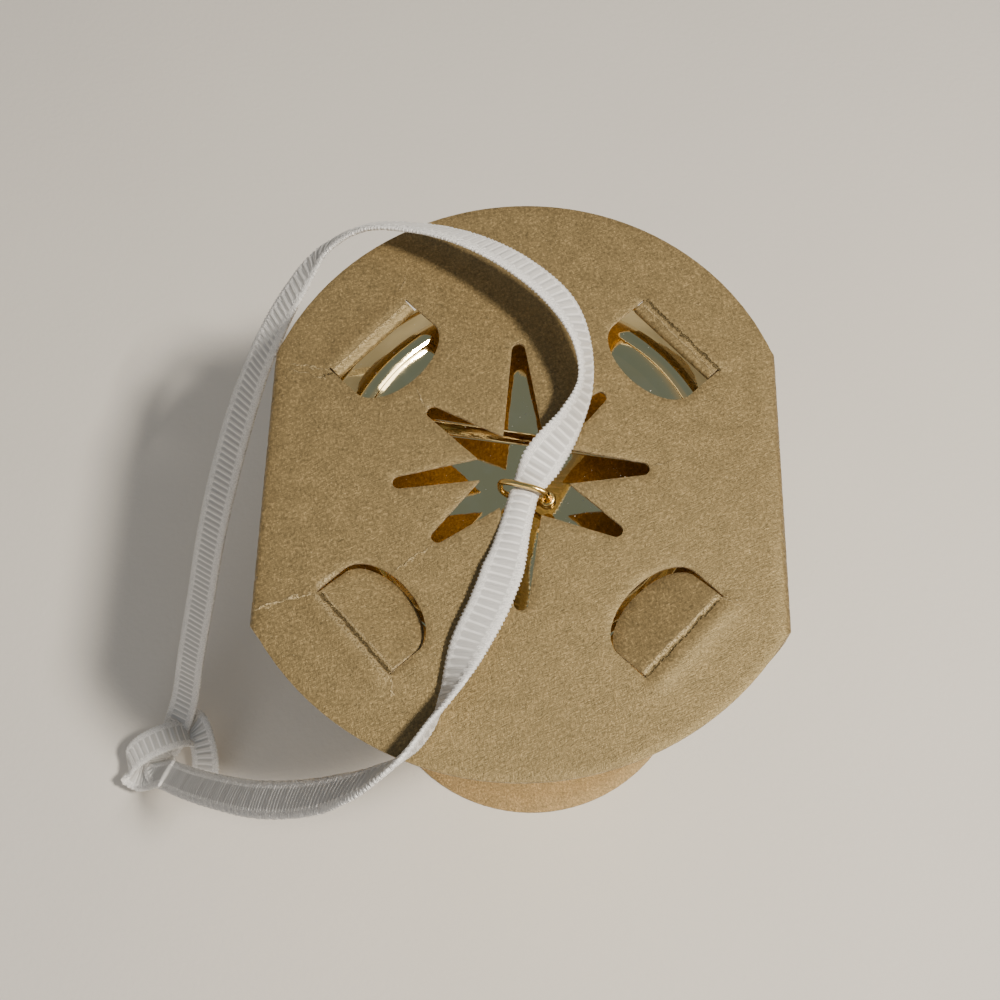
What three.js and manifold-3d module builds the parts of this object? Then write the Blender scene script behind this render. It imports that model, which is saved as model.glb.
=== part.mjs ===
// A gold-glazed ceramic to-go cup ornament in its folded card wrap, with a wire eye and a ribbon loop.
// Millimetres, +Z up. The origin lies on the table, under the middle of the wrap's top panel.
import * as THREE from 'three';
import { mergeVertices } from 'three/addons/utils/BufferGeometryUtils.js';
import Module from 'manifold-3d';

const wasm = await Module();
wasm.setup();

// Clearances
const TOUCH_GAP = 0.3;            // between pieces that touch
const WIRE_CLEARANCE = 0.3;       // around the wire in its hole
const CUT_OVERRUN = 1;            // how far a cutter runs past a face

// Card wrap, folded from one sheet
const CARD = 0.5;
const WRAP_HEIGHT = 85;
const FOLD_ROUND = 0.4;           // inside radius of the four folds
const TOP_FOLD_X = 33;            // from the middle to each top fold
const TOP_FOLD_HALF = 17.7;       // half the length of a top fold
const TOP_FOLD_Y = -2.4;          // and its middle
const PANEL_REACH = 39.4;         // top panel, from the origin to its front and back edges
const SHEET_MIDDLE_Y = -1.4;      // the base and the flaps are centred a little forward
const BASE_FOLD_X = 24.2;
const BASE_RADIUS = 28.7;
const SIDE_BULGE = 3.2;           // how far each side's cut edges belly out, most of it near the top

// D-shaped flaps, one towards each corner of the top panel
const FLAP_WIDTH = 14.2;          // along the hinge
const FLAP_STRAIGHT = 4.2;        // straight sides before the round end
const FLAP_DEPTH = 8.3;           // hinge to the end of the round
const FLAP_X = 19.9;              // middle of the hinge
const FLAP_Y = 20.1;
const FLAP_TURN = 47.1;           // the hinge's angle to the X axis, degrees
const KERF = 0.25;                // width of the cut line
const FRONT_SLIT_RUN = 0.3;       // the front flaps' cuts run on past the hinge
const BACK_SLIT_RUN = 1.1;        // and those of the back flaps
const LEFT_FLAP_DROP = 14;        // degrees that the front left flap is pushed down
const RIGHT_FLAP_DROP = 16;       // and the front right one
const BACK_FLAP_FOLD = 150;       // degrees that the back flaps are folded under

// Starburst cut-out: arms and the valleys that follow them, counter-clockwise from the back
const STAR_Y = -0.2;
const STAR_TIP_ROUND = 0.9;
const STAR_ARMS = [
  { turn: 92, reach: 18.3, valleyTurn: 116, valleyReach: 5.4 },
  { turn: 144.5, reach: 15, valleyTurn: 163, valleyReach: 5.9 },
  { turn: 186, reach: 16.4, valleyTurn: 194, valleyReach: 5.4 },
  { turn: 221, reach: 14.4, valleyTurn: 243, valleyReach: 5.6 },
  { turn: 271, reach: 18.4, valleyTurn: 294, valleyReach: 6.5 },
  { turn: 326.5, reach: 15.2, valleyTurn: 344.5, valleyReach: 6.4 },
  { turn: 361.5, reach: 16.3, valleyTurn: 391, valleyReach: 6.3 },
  { turn: 406, reach: 15.3, valleyTurn: 426, valleyReach: 6.4 },
];

// Ceramic cup and its lid, cast in one
const CUP_X = 0.7;
const CUP_Y = 1.2;
const CUP_FOOT_Z = CARD + TOUCH_GAP;
const CUP_FOOT_RADIUS = 19.5;
const FOOT_RING = 2.8;            // width of the ring that the cup stands on
const FOOT_RECESS = 0.8;
const CUP_MOUTH_RADIUS = 27.4;
const CREST_DROP = 2.3;           // from the panel's underside down to the lid's crest
const CREST_Z = WRAP_HEIGHT - CARD - CREST_DROP;
const CREST_RADIUS = 24.2;        // middle of the crest
const CREST_WIDTH = 2.3;
const CREST_ROUND = 1.1;
const WELL_DEPTH = 3;             // crest down to the sunk floor
const WELL_SLOPE = 2.4;           // the sunk wall's run
const WELL_ROUND = 0.8;           // the corner at its foot
const LID_RISE = 3.4;             // from the lip's top up to the crest
const LID_RUN = 3.8;                // how far the lid's wall slopes in over that rise
const LIP_HEIGHT = 4.4;           // the lip that rolls over the cup's mouth
const LIP_RADIUS = 30.5;
const LIP_ROUND = 1.1;
const PLATFORM_RISE = 1.8;        // the raised part of the sunk floor
const PLATFORM_RUN = 1;           // the run of the step up to it
const PLATFORM_Y = 4.6;           // the step, behind the cup's axis
const PLATFORM_TURN = -8.5;       // degrees
const CUP_SIDES = 48;

// Hanging eye: one wire, its two legs set in the lid
const WIRE = 0.76;
const EYE_X = 0.4;
const EYE_Y = -2.8;
const EYE_TURN = -14;             // degrees from the X axis
const EYE_HALF_SPAN = 3.1;
const EYE_TOP_Z = WRAP_HEIGHT + 1.5;
const LEG_HALF_SPREAD = 0.43;
const LEG_DEPTH = 4;              // how deep the legs go into the lid
const LEG_SINK = LEG_DEPTH + WIRE_CLEARANCE;

// Ribbon loop: x, y, z of its middle and the lean of its width from level, degrees
const RIBBON_WIDTH = 5;
const RIBBON_THICK = 0.4;
const RIBBON_STEPS = 80;
const RIBBON_WAIST = 4.1;         // its width where the wire gathers it
const RIBBON_WAIST_REACH = 5;     // how far from the eye the gathering goes
const RIBBON_ROUTE = [
  [-64.6, -19.6, 5.0, 0],
  [-61.7, -13.6, 9.0, 0],
  [-58.8, -7.7, 18.0, 0],
  [-54.8, -0.5, 30.0, 0],
  [-50.5, 7.1, 43.0, 0],
  [-46.1, 14.5, 54.0, 0],
  [-41.6, 20.7, 64.0, 4],
  [-37.1, 25.3, 72.5, 12],
  [-32.4, 29.7, 79.0, 24],
  [-27.8, 33.6, 83.2, 42],
  [-21.8, 34.8, 86.8, 48],
  [-14.5, 32.8, 90.0, 45],
  [-6.9, 29.2, 92.5, 39],
  [-0.3, 25, 93.1, 34],
  [5.1, 20, 92.4, 37],
  [7.8, 14.4, 91.3, 60],
  [8.1, 9.9, 89.0, 73],
  [6.2, 5.5, 87.6, 60],
  [3.1, 1.1, 86.6, 24],
  [0.45, -3, 85.1, 0],
  [-0.6, -8, 85.8, 0],
  [-1.7, -13, 86.4, -4],
  [-3.4, -18.3, 86.9, -8],
  [-5.6, -23.3, 87.3, -20],
  [-7.8, -29.3, 87.9, -60],
  [-10.1, -33.8, 88.0, -88],
  [-12.9, -37.3, 88.1, -80],
  [-17.1, -39.3, 84.9, -50],
  [-22.7, -39.8, 77.6, -20],
  [-29.6, -38.9, 67.0, -6],
  [-36.7, -37.2, 56.0, 0],
  [-43.9, -34.6, 44.0, 0],
  [-51.5, -31.5, 31.0, 0],
  [-59.1, -28, 18.0, 0],
  [-65.2, -24.6, 8.0, 0],
  [-65.8, -21.6, 5.0, 0],
];
const KNOT_SIZE = [12.5, 9.5, 7.2];
const KNOT_MIDDLE = [-64.9, -20.6, 4.0];
const KNOT_SIDES = 16;

const DEGREE = Math.PI / 180;
const ARC_STEP = 30 * DEGREE;     // the most that one facet of a rounded corner turns

// A closed geometry as a solid that can be joined and cut
function solidOf(geometry) {
  const bare = geometry.clone();
  bare.deleteAttribute('normal');
  bare.deleteAttribute('uv');
  const merged = mergeVertices(bare, 1e-4);
  const kept = [];
  const index = merged.index.array;
  for (let i = 0; i < index.length; i += 3) {
    const [a, b, c] = [index[i], index[i + 1], index[i + 2]];
    if (a !== b && b !== c && c !== a) kept.push(a, b, c);
  }
  return new wasm.Manifold(new wasm.Mesh({
    numProp: 3,
    vertProperties: Float32Array.from(merged.attributes.position.array),
    triVerts: Uint32Array.from(kept),
  }));
}

function meshOf(solid, name, material) {
  const made = solid.getMesh();
  const geometry = new THREE.BufferGeometry();
  geometry.setAttribute('position', new THREE.BufferAttribute(Float32Array.from(made.vertProperties), 3));
  geometry.setIndex(Array.from(made.triVerts));
  geometry.computeVertexNormals();
  const mesh = new THREE.Mesh(geometry, material);
  mesh.name = name;
  return mesh;
}

// A flat outline raised from one height to another
function prism(shape, low, high, curveSegments = 24) {
  const geometry = new THREE.ExtrudeGeometry(shape, {
    depth: high - low, bevelEnabled: false, curveSegments,
  });
  return geometry.translate(0, 0, low);
}

// Adds to a path the arc from (fromX, y) to (toX, y) whose furthest point is at apexY
function arcOver(shape, fromX, toX, y, apexY) {
  const half = Math.abs(fromX - toX) / 2;
  const rise = apexY - y;
  const radius = (half * half + rise * rise) / (2 * Math.abs(rise));
  const centreY = apexY - Math.sign(rise) * radius;
  const centreX = (fromX + toX) / 2;
  const start = Math.atan2(y - centreY, fromX - centreX);
  const end = Math.atan2(y - centreY, toX - centreX);
  shape.absarc(centreX, centreY, radius, start, end, false);
}

// Points of a corner rounded by an arc; a corner without a radius stays sharp
function roundedCorners(corners, closed) {
  const out = [];
  corners.forEach(([x, y, radius = 0], i) => {
    const isEnd = !closed && (i === 0 || i === corners.length - 1);
    if (!radius || isEnd) {
      out.push(new THREE.Vector2(x, y));
      return;
    }
    const here = new THREE.Vector2(x, y);
    const before = corners[(i - 1 + corners.length) % corners.length];
    const after = corners[(i + 1) % corners.length];
    const back = new THREE.Vector2(before[0], before[1]).sub(here).normalize();
    const ahead = new THREE.Vector2(after[0], after[1]).sub(here).normalize();
    const half = Math.acos(THREE.MathUtils.clamp(back.dot(ahead), -1, 1)) / 2;
    const centre = back.clone().add(ahead).normalize().multiplyScalar(radius / Math.sin(half)).add(here);
    const from = back.clone().multiplyScalar(radius / Math.tan(half)).add(here).sub(centre);
    const to = ahead.clone().multiplyScalar(radius / Math.tan(half)).add(here).sub(centre);
    const start = from.angle();
    let sweep = to.angle() - start;
    if (sweep > Math.PI) sweep -= 2 * Math.PI;
    if (sweep < -Math.PI) sweep += 2 * Math.PI;
    const steps = Math.ceil(Math.abs(sweep) / ARC_STEP);
    for (let k = 0; k <= steps; k += 1) {
      const angle = start + (sweep * k) / steps;
      out.push(new THREE.Vector2(Math.cos(angle), Math.sin(angle)).multiplyScalar(radius).add(centre));
    }
  });
  return out;
}

// The sheet's closed loop, seen from the front: base, two leaning sides and the top
function sheetLoop() {
  const lean = Math.atan2(TOP_FOLD_X - BASE_FOLD_X, WRAP_HEIGHT);
  const outerRound = FOLD_ROUND + CARD;
  const loop = (inset, round) => {
    const xAt = (z) => BASE_FOLD_X + z * Math.tan(lean) - inset / Math.cos(lean);
    const low = inset;
    const high = WRAP_HEIGHT - inset;
    return roundedCorners([
      [-xAt(low), low, round], [xAt(low), low, round], [xAt(high), high, round], [-xAt(high), high, round],
    ], true);
  };
  const shape = new THREE.Shape(loop(0, outerRound));
  shape.holes.push(new THREE.Path(loop(CARD, FOLD_ROUND)));
  const reach = PANEL_REACH + CUT_OVERRUN;
  return solidOf(prism(shape, -reach, reach).rotateX(Math.PI / 2));
}

function topOutline() {
  const shape = new THREE.Shape();
  const back = TOP_FOLD_Y + TOP_FOLD_HALF;
  const front = TOP_FOLD_Y - TOP_FOLD_HALF;
  shape.moveTo(TOP_FOLD_X, back);
  arcOver(shape, TOP_FOLD_X, -TOP_FOLD_X, back, PANEL_REACH);
  shape.lineTo(-TOP_FOLD_X, front);
  arcOver(shape, -TOP_FOLD_X, TOP_FOLD_X, front, -PANEL_REACH);
  return shape;
}

function baseOutline() {
  const half = Math.sqrt(BASE_RADIUS ** 2 - BASE_FOLD_X ** 2);
  const shape = new THREE.Shape();
  shape.moveTo(BASE_FOLD_X, SHEET_MIDDLE_Y + half);
  arcOver(shape, BASE_FOLD_X, -BASE_FOLD_X, SHEET_MIDDLE_Y + half, SHEET_MIDDLE_Y + BASE_RADIUS);
  shape.lineTo(-BASE_FOLD_X, SHEET_MIDDLE_Y - half);
  arcOver(shape, -BASE_FOLD_X, BASE_FOLD_X, SHEET_MIDDLE_Y - half, SHEET_MIDDLE_Y - BASE_RADIUS);
  return shape;
}

// A side's outline, seen along X: its cut edges belly out between the two folds
function sideOutline() {
  const baseHalf = Math.sqrt(BASE_RADIUS ** 2 - BASE_FOLD_X ** 2);
  const steps = 22;
  const edge = [];
  for (let k = 0; k <= steps; k += 1) {
    const share = (1 - Math.cos((Math.PI * k) / steps)) / 2;
    const straight = baseHalf + (TOP_FOLD_HALF - baseHalf) * share;
    const belly = SIDE_BULGE * share * Math.sqrt(4 * (1 - share));
    const middle = SHEET_MIDDLE_Y + (TOP_FOLD_Y - SHEET_MIDDLE_Y) * share;
    edge.push([middle, straight + belly, share * WRAP_HEIGHT]);
  }
  edge.unshift([SHEET_MIDDLE_Y, baseHalf, -CUT_OVERRUN]);
  edge.push([TOP_FOLD_Y, TOP_FOLD_HALF, WRAP_HEIGHT + CUT_OVERRUN]);
  const back = edge.map(([middle, half, z]) => new THREE.Vector2(middle + half, z));
  const front = edge.map(([middle, half, z]) => new THREE.Vector2(middle - half, z)).reverse();
  return new THREE.Shape([...back, ...front]);
}

// Each arm ends in a round, and its two sides run straight from that round to the valleys beside it
function starOutline() {
  const at = (turn, reach) => new THREE.Vector2(Math.cos(turn * DEGREE), Math.sin(turn * DEGREE))
    .multiplyScalar(reach).add(new THREE.Vector2(0, STAR_Y));
  const points = [];
  STAR_ARMS.forEach((arm, i) => {
    const before = STAR_ARMS[(i + STAR_ARMS.length - 1) % STAR_ARMS.length];
    const centre = at(arm.turn, arm.reach - STAR_TIP_ROUND);
    const sideAngle = (valley, way) => {
      const back = valley.clone().sub(centre);
      return back.angle() + way * Math.acos(STAR_TIP_ROUND / back.length());
    };
    const valley = at(arm.valleyTurn, arm.valleyReach);
    const start = sideAngle(at(before.valleyTurn, before.valleyReach), 1);
    const sweep = (sideAngle(valley, -1) - start + 4 * Math.PI) % (2 * Math.PI);
    const steps = Math.ceil(sweep / ARC_STEP);
    for (let k = 0; k <= steps; k += 1) {
      const angle = start + (sweep * k) / steps;
      points.push(new THREE.Vector2(Math.cos(angle), Math.sin(angle)).multiplyScalar(STAR_TIP_ROUND).add(centre));
    }
    points.push(valley);
  });
  return new THREE.Shape(points);
}

// Outline of a flap or its window, with the hinge along local X and the round end towards local Y
function flapOutline(inset, slitRun) {
  const half = FLAP_WIDTH / 2 - inset;
  const roundDepth = FLAP_DEPTH - FLAP_STRAIGHT - inset;
  const shape = new THREE.Shape();
  shape.moveTo(-half, -slitRun);
  if (slitRun) {
    shape.lineTo(-half + KERF, -slitRun);
    shape.lineTo(-half + KERF, 0);
    shape.lineTo(half - KERF, 0);
    shape.lineTo(half - KERF, -slitRun);
    shape.lineTo(half, -slitRun);
  } else {
    shape.lineTo(half, 0);
  }
  shape.lineTo(half, FLAP_STRAIGHT);
  shape.absellipse(0, FLAP_STRAIGHT, half, roundDepth, 0, Math.PI, false);
  shape.lineTo(-half, -slitRun);
  return shape;
}

// Puts a flap's local frame at one of the four hinges
function atHinge(side, end) {
  const hinge = new THREE.Matrix4();
  const along = new THREE.Vector3(Math.cos(FLAP_TURN * DEGREE), -Math.sin(FLAP_TURN * DEGREE) * side * end, 0);
  const inward = new THREE.Vector3(-along.y, along.x, 0);
  if (inward.y * end > 0) {
    inward.negate();
    along.negate();
  }
  hinge.makeBasis(along, inward, new THREE.Vector3(0, 0, 1));
  hinge.setPosition(side * FLAP_X, SHEET_MIDDLE_Y + end * FLAP_Y, WRAP_HEIGHT - CARD / 2);
  return hinge;
}

function flapSolid(side, end) {
  const drop = side < 0 ? LEFT_FLAP_DROP : RIGHT_FLAP_DROP;
  const turn = (end > 0 ? BACK_FLAP_FOLD : drop) * DEGREE;
  const hinge = atHinge(side, end);
  const plate = prism(flapOutline(KERF, 0), -CARD / 2, CARD / 2, 16)
    .rotateX(-turn).applyMatrix4(hinge);
  const fold = new THREE.CylinderGeometry(CARD / 2, CARD / 2, FLAP_WIDTH - 2 * KERF, 12)
    .rotateZ(Math.PI / 2).applyMatrix4(hinge);
  return solidOf(plate).add(solidOf(fold));
}

function cardWrap() {
  const alongX = new THREE.Matrix4().makeBasis(
    new THREE.Vector3(0, 1, 0), new THREE.Vector3(0, 0, 1), new THREE.Vector3(1, 0, 0),
  );
  const reachX = TOP_FOLD_X + CUT_OVERRUN;
  const foldZone = CARD + FOLD_ROUND;
  const top = solidOf(prism(topOutline(), WRAP_HEIGHT - foldZone, WRAP_HEIGHT + CUT_OVERRUN, 40));
  const base = solidOf(prism(baseOutline(), -CUT_OVERRUN, foldZone, 28));
  const sides = solidOf(prism(sideOutline(), -reachX, reachX).applyMatrix4(alongX));
  let wrap = sheetLoop().intersect(top.add(base).add(sides));
  const cutLow = WRAP_HEIGHT - CARD - CUT_OVERRUN;
  const cutHigh = WRAP_HEIGHT + CUT_OVERRUN;
  wrap = wrap.subtract(solidOf(prism(starOutline(), cutLow, cutHigh)));
  for (const side of [-1, 1]) {
    for (const end of [-1, 1]) {
      const slitRun = end > 0 ? BACK_SLIT_RUN : FRONT_SLIT_RUN;
      const window = prism(flapOutline(0, slitRun), -CARD / 2 - CUT_OVERRUN, CARD / 2 + CUT_OVERRUN, 16);
      wrap = wrap.subtract(solidOf(window.applyMatrix4(atHinge(side, end))));
      wrap = wrap.add(flapSolid(side, end));
    }
  }
  return wrap;
}

// Half the section of the cup and lid, from the axis below to the axis above
function cupProfile() {
  const floorZ = CREST_Z - WELL_DEPTH;
  const lipTop = CREST_Z - LID_RISE;
  const lipLow = lipTop - LIP_HEIGHT;
  const footInner = CUP_FOOT_RADIUS - FOOT_RING;
  const crestInner = CREST_RADIUS - CREST_WIDTH / 2;
  const crestOuter = CREST_RADIUS + CREST_WIDTH / 2;
  return roundedCorners([
    [0, CUP_FOOT_Z + FOOT_RECESS],
    [footInner, CUP_FOOT_Z + FOOT_RECESS, FOOT_RECESS / 2],
    [footInner + FOOT_RECESS, CUP_FOOT_Z, FOOT_RECESS / 2],
    [CUP_FOOT_RADIUS, CUP_FOOT_Z, FOOT_RECESS],
    [CUP_MOUTH_RADIUS, lipLow, FOOT_RECESS / 2],
    [LIP_RADIUS, lipLow, LIP_ROUND],
    [LIP_RADIUS, lipTop, LIP_ROUND],
    [crestOuter + LID_RUN, lipTop, LIP_ROUND / 2],
    [crestOuter, CREST_Z, CREST_ROUND],
    [crestInner, CREST_Z, CREST_ROUND],
    [crestInner - WELL_SLOPE, floorZ, WELL_ROUND],
    [0, floorZ],
  ], false);
}

function cupOrnament() {
  let cup = solidOf(new THREE.LatheGeometry(cupProfile(), CUP_SIDES).rotateX(Math.PI / 2));
  // The platform fills the sunk floor behind a straight sloped step
  const floorZ = CREST_Z - WELL_DEPTH;
  const reach = CREST_RADIUS;
  const sunk = 0.5;
  const step = new THREE.Shape(roundedCorners([
    [PLATFORM_Y - (sunk * PLATFORM_RUN) / PLATFORM_RISE, floorZ - sunk],
    [PLATFORM_Y + PLATFORM_RUN, floorZ + PLATFORM_RISE, 0.35],
    [reach + PLATFORM_Y, floorZ + PLATFORM_RISE],
    [reach + PLATFORM_Y, floorZ - sunk],
  ], true));
  const along = new THREE.Matrix4().makeBasis(
    new THREE.Vector3(0, 1, 0), new THREE.Vector3(0, 0, 1), new THREE.Vector3(1, 0, 0),
  );
  const bar = prism(step, -reach, reach).applyMatrix4(along).rotateZ(PLATFORM_TURN * DEGREE);
  const bound = new THREE.CylinderGeometry(reach, reach, 2 * WELL_DEPTH, CUP_SIDES)
    .rotateX(Math.PI / 2).translate(0, 0, floorZ);
  cup = cup.add(solidOf(bar).intersect(solidOf(bound)));
  const holeRadius = LEG_HALF_SPREAD + WIRE / 2 + WIRE_CLEARANCE;
  const hole = new THREE.CylinderGeometry(holeRadius, holeRadius, LEG_SINK + CUT_OVERRUN, 16)
    .rotateX(Math.PI / 2)
    .translate(EYE_X - CUP_X, EYE_Y - CUP_Y, floorZ + (CUT_OVERRUN - LEG_SINK) / 2);
  return cup.subtract(solidOf(hole));
}

// The wire rises from the lid, opens into an eye and comes back down beside itself
function hangingEye() {
  const floorZ = CREST_Z - WELL_DEPTH;
  const legs = [
    [LEG_HALF_SPREAD, floorZ - LEG_DEPTH],
    [LEG_HALF_SPREAD, floorZ - LEG_DEPTH / 2],
    [LEG_HALF_SPREAD, floorZ + 0.6],
    [EYE_HALF_SPAN * 0.5, floorZ + 2],
    [EYE_HALF_SPAN * 0.93, floorZ + 3.5],
    [EYE_HALF_SPAN, floorZ + 5],
    [EYE_HALF_SPAN * 0.9, EYE_TOP_Z - 0.7],
    [EYE_HALF_SPAN * 0.5, EYE_TOP_Z - 0.1],
  ];
  const points = [
    ...legs.map(([x, z]) => new THREE.Vector3(-x, 0, z)),
    new THREE.Vector3(0, 0, EYE_TOP_Z),
    ...legs.map(([x, z]) => new THREE.Vector3(x, 0, z)).reverse(),
  ];
  const section = new THREE.Shape();
  section.absarc(0, 0, WIRE / 2, 0, 2 * Math.PI, false);
  return new THREE.ExtrudeGeometry(section, {
    steps: 40, curveSegments: 4, bevelEnabled: false,
    extrudePath: new THREE.CatmullRomCurve3(points),
  });
}

// A band of even thickness along the route, turned by the lean at each point
function ribbonBand() {
  const route = new THREE.CatmullRomCurve3(RIBBON_ROUTE.map(([x, y, z]) => new THREE.Vector3(x, y, z)));
  const spans = RIBBON_ROUTE.length - 1;
  const eye = new THREE.Vector3(EYE_X, EYE_Y, WRAP_HEIGHT);
  const corners = [];
  for (let k = 0; k <= RIBBON_STEPS; k += 1) {
    const t = k / RIBBON_STEPS;
    const here = route.getPoint(t);
    const ahead = route.getTangent(t);
    const span = Math.min(Math.floor(t * spans), spans - 1);
    const lean = THREE.MathUtils.lerp(RIBBON_ROUTE[span][3], RIBBON_ROUTE[span + 1][3], t * spans - span);
    const level = new THREE.Vector3(ahead.y, -ahead.x, 0).normalize();
    const rising = new THREE.Vector3().crossVectors(level, ahead);
    const across = level.multiplyScalar(Math.cos(lean * DEGREE))
      .addScaledVector(rising, Math.sin(lean * DEGREE));
    const face = new THREE.Vector3().crossVectors(across, ahead);
    const away = Math.min(here.distanceTo(eye) / RIBBON_WAIST_REACH, 1);
    across.multiplyScalar(THREE.MathUtils.lerp(RIBBON_WAIST, RIBBON_WIDTH, away) / 2);
    face.multiplyScalar(RIBBON_THICK / 2);
    for (const [w, f] of [[-1, -1], [1, -1], [1, 1], [-1, 1]]) {
      corners.push(here.clone().addScaledVector(across, w).addScaledVector(face, f));
    }
  }
  const index = [];
  for (let k = 0; k < RIBBON_STEPS; k += 1) {
    for (let side = 0; side < 4; side += 1) {
      const a = 4 * k + side;
      const b = 4 * k + ((side + 1) % 4);
      index.push(a, b + 4, b, a, a + 4, b + 4);
    }
  }
  const last = 4 * RIBBON_STEPS;
  index.push(0, 1, 2, 0, 2, 3, last, last + 2, last + 1, last, last + 3, last + 2);
  const geometry = new THREE.BufferGeometry().setFromPoints(corners);
  geometry.setIndex(index);
  return geometry;
}

// The knot's lump, or with a gap the room that it takes from the band
function knotLump(gap) {
  const [length, depth, height] = KNOT_SIZE.map((size) => size + 2 * gap);
  return solidOf(new THREE.SphereGeometry(0.5, KNOT_SIDES, KNOT_SIDES / 2)
    .rotateX(Math.PI / 2).scale(length, depth, height));
}

function ribbonLoop() {
  return solidOf(ribbonBand()).subtract(knotLump(TOUCH_GAP).translate(KNOT_MIDDLE));
}

const kraft = new THREE.MeshStandardMaterial({ color: 0x9c8259, roughness: 0.9, metalness: 0 });
const gold = new THREE.MeshStandardMaterial({ color: 0xcdb26a, roughness: 0.12, metalness: 1 });
const wire = new THREE.MeshStandardMaterial({ color: 0xc9a548, roughness: 0.2, metalness: 1 });
const cloth = new THREE.MeshStandardMaterial({ color: 0xece9e2, roughness: 0.75, metalness: 0 });

const ornament = new THREE.Group();

ornament.add(meshOf(cardWrap(), 'card_wrap', kraft));

const cup = meshOf(cupOrnament(), 'cup_ornament', gold);
cup.position.set(CUP_X, CUP_Y, 0);
ornament.add(cup);

const eye = meshOf(solidOf(hangingEye()), 'hanging_eye', wire);
eye.position.set(EYE_X, EYE_Y, 0);
eye.rotation.z = EYE_TURN * DEGREE;
ornament.add(eye);

ornament.add(meshOf(ribbonLoop(), 'ribbon_loop', cloth));

const knot = meshOf(knotLump(0), 'ribbon_knot', cloth.clone());
knot.position.set(...KNOT_MIDDLE);
ornament.add(knot);

export default ornament;
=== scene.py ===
"""Dresses a gold-glazed takeaway-cup ornament, its folded card wrap, its wire eye and its ribbon loop."""

import math

import bpy
import numpy as np
from bpy.props import FloatProperty, FloatVectorProperty, IntProperty, PointerProperty
from bpy.types import Operator, Panel, PropertyGroup
from mathutils import Matrix, Vector, noise
from mathutils.geometry import delaunay_2d_cdt


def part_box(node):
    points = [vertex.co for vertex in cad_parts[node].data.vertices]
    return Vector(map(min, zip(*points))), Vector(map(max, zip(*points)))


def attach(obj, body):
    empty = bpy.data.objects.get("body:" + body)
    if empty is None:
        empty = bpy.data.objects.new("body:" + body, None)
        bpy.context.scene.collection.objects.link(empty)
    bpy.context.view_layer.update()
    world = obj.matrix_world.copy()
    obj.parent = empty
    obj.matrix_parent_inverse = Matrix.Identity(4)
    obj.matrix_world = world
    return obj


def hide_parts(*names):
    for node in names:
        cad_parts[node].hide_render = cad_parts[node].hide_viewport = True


bl_info = {
    "name": "Cup ornament dresser",
    "version": (1, 0, 0),
    "blender": (4, 5, 0),
    "location": "3D View > Sidebar > Ornament",
    "description": "Builds the finished card, cup, wire and ribbon around the packed ornament",
    "category": "Object",
}

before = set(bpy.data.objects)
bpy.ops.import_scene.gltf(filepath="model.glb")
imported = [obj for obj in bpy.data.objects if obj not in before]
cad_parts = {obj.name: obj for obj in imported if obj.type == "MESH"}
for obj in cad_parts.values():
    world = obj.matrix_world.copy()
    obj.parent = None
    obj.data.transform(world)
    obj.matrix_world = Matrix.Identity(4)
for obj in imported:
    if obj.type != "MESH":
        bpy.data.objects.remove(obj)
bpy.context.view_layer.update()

MM = 0.001
WRAP_LOW, WRAP_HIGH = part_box("card_wrap")
CUP_LOW, CUP_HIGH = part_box("cup_ornament")
WRAP_HEIGHT = WRAP_HIGH[2]
CREST_HEIGHT = CUP_HIGH[2]
CUP_AXIS = ((CUP_LOW[0] + CUP_HIGH[0]) / 2, (CUP_LOW[1] + CUP_HIGH[1]) / 2)

# The ribbon's middle in millimetres, and the lean of its width from level in degrees
RIBBON_ROUTE = [
    (-64.6, -19.6, 5.0, 0),
    (-61.7, -13.6, 9.0, 0),
    (-58.8, -7.7, 18.0, 0),
    (-54.8, -0.5, 30.0, 0),
    (-50.5, 7.1, 43.0, 0),
    (-46.1, 14.5, 54.0, 0),
    (-41.6, 20.7, 64.0, 4),
    (-37.1, 25.3, 72.5, 12),
    (-32.4, 29.7, 79.0, 24),
    (-27.8, 33.6, 83.2, 42),
    (-21.8, 34.8, 86.8, 48),
    (-14.5, 32.8, 90.0, 45),
    (-6.9, 29.2, 92.5, 39),
    (-0.3, 25, 93.1, 34),
    (5.1, 20, 92.4, 37),
    (7.8, 14.4, 91.3, 60),
    (8.1, 9.9, 89.0, 73),
    (6.2, 5.5, 87.6, 60),
    (3.1, 1.1, 86.6, 24),
    (0.45, -3, 85.1, 0),
    (-0.6, -8, 85.8, 0),
    (-1.7, -13, 86.4, -4),
    (-3.4, -18.3, 86.9, -8),
    (-5.6, -23.3, 87.3, -20),
    (-7.8, -29.3, 87.9, -60),
    (-10.1, -33.8, 88.0, -88),
    (-12.9, -37.3, 88.1, -80),
    (-17.1, -39.3, 84.9, -50),
    (-22.7, -39.8, 77.6, -20),
    (-29.6, -38.9, 67.0, -6),
    (-36.7, -37.2, 56.0, 0),
    (-43.9, -34.6, 44.0, 0),
    (-51.5, -31.5, 31.0, 0),
    (-59.1, -28, 18.0, 0),
    (-65.2, -24.6, 8.0, 0),
    (-65.8, -21.6, 5.0, 0),
]
EYE_POINT = 19
BAND_SPACING = 0.18 * MM     # from row to row of the woven bands
PATH_SPACING = 2.5 * MM      # from point to point of the cord's path
WIRE_SPACING = 0.15 * MM
COIL_TURNS = 2.6             # the wire's turns beside its eye

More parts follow.
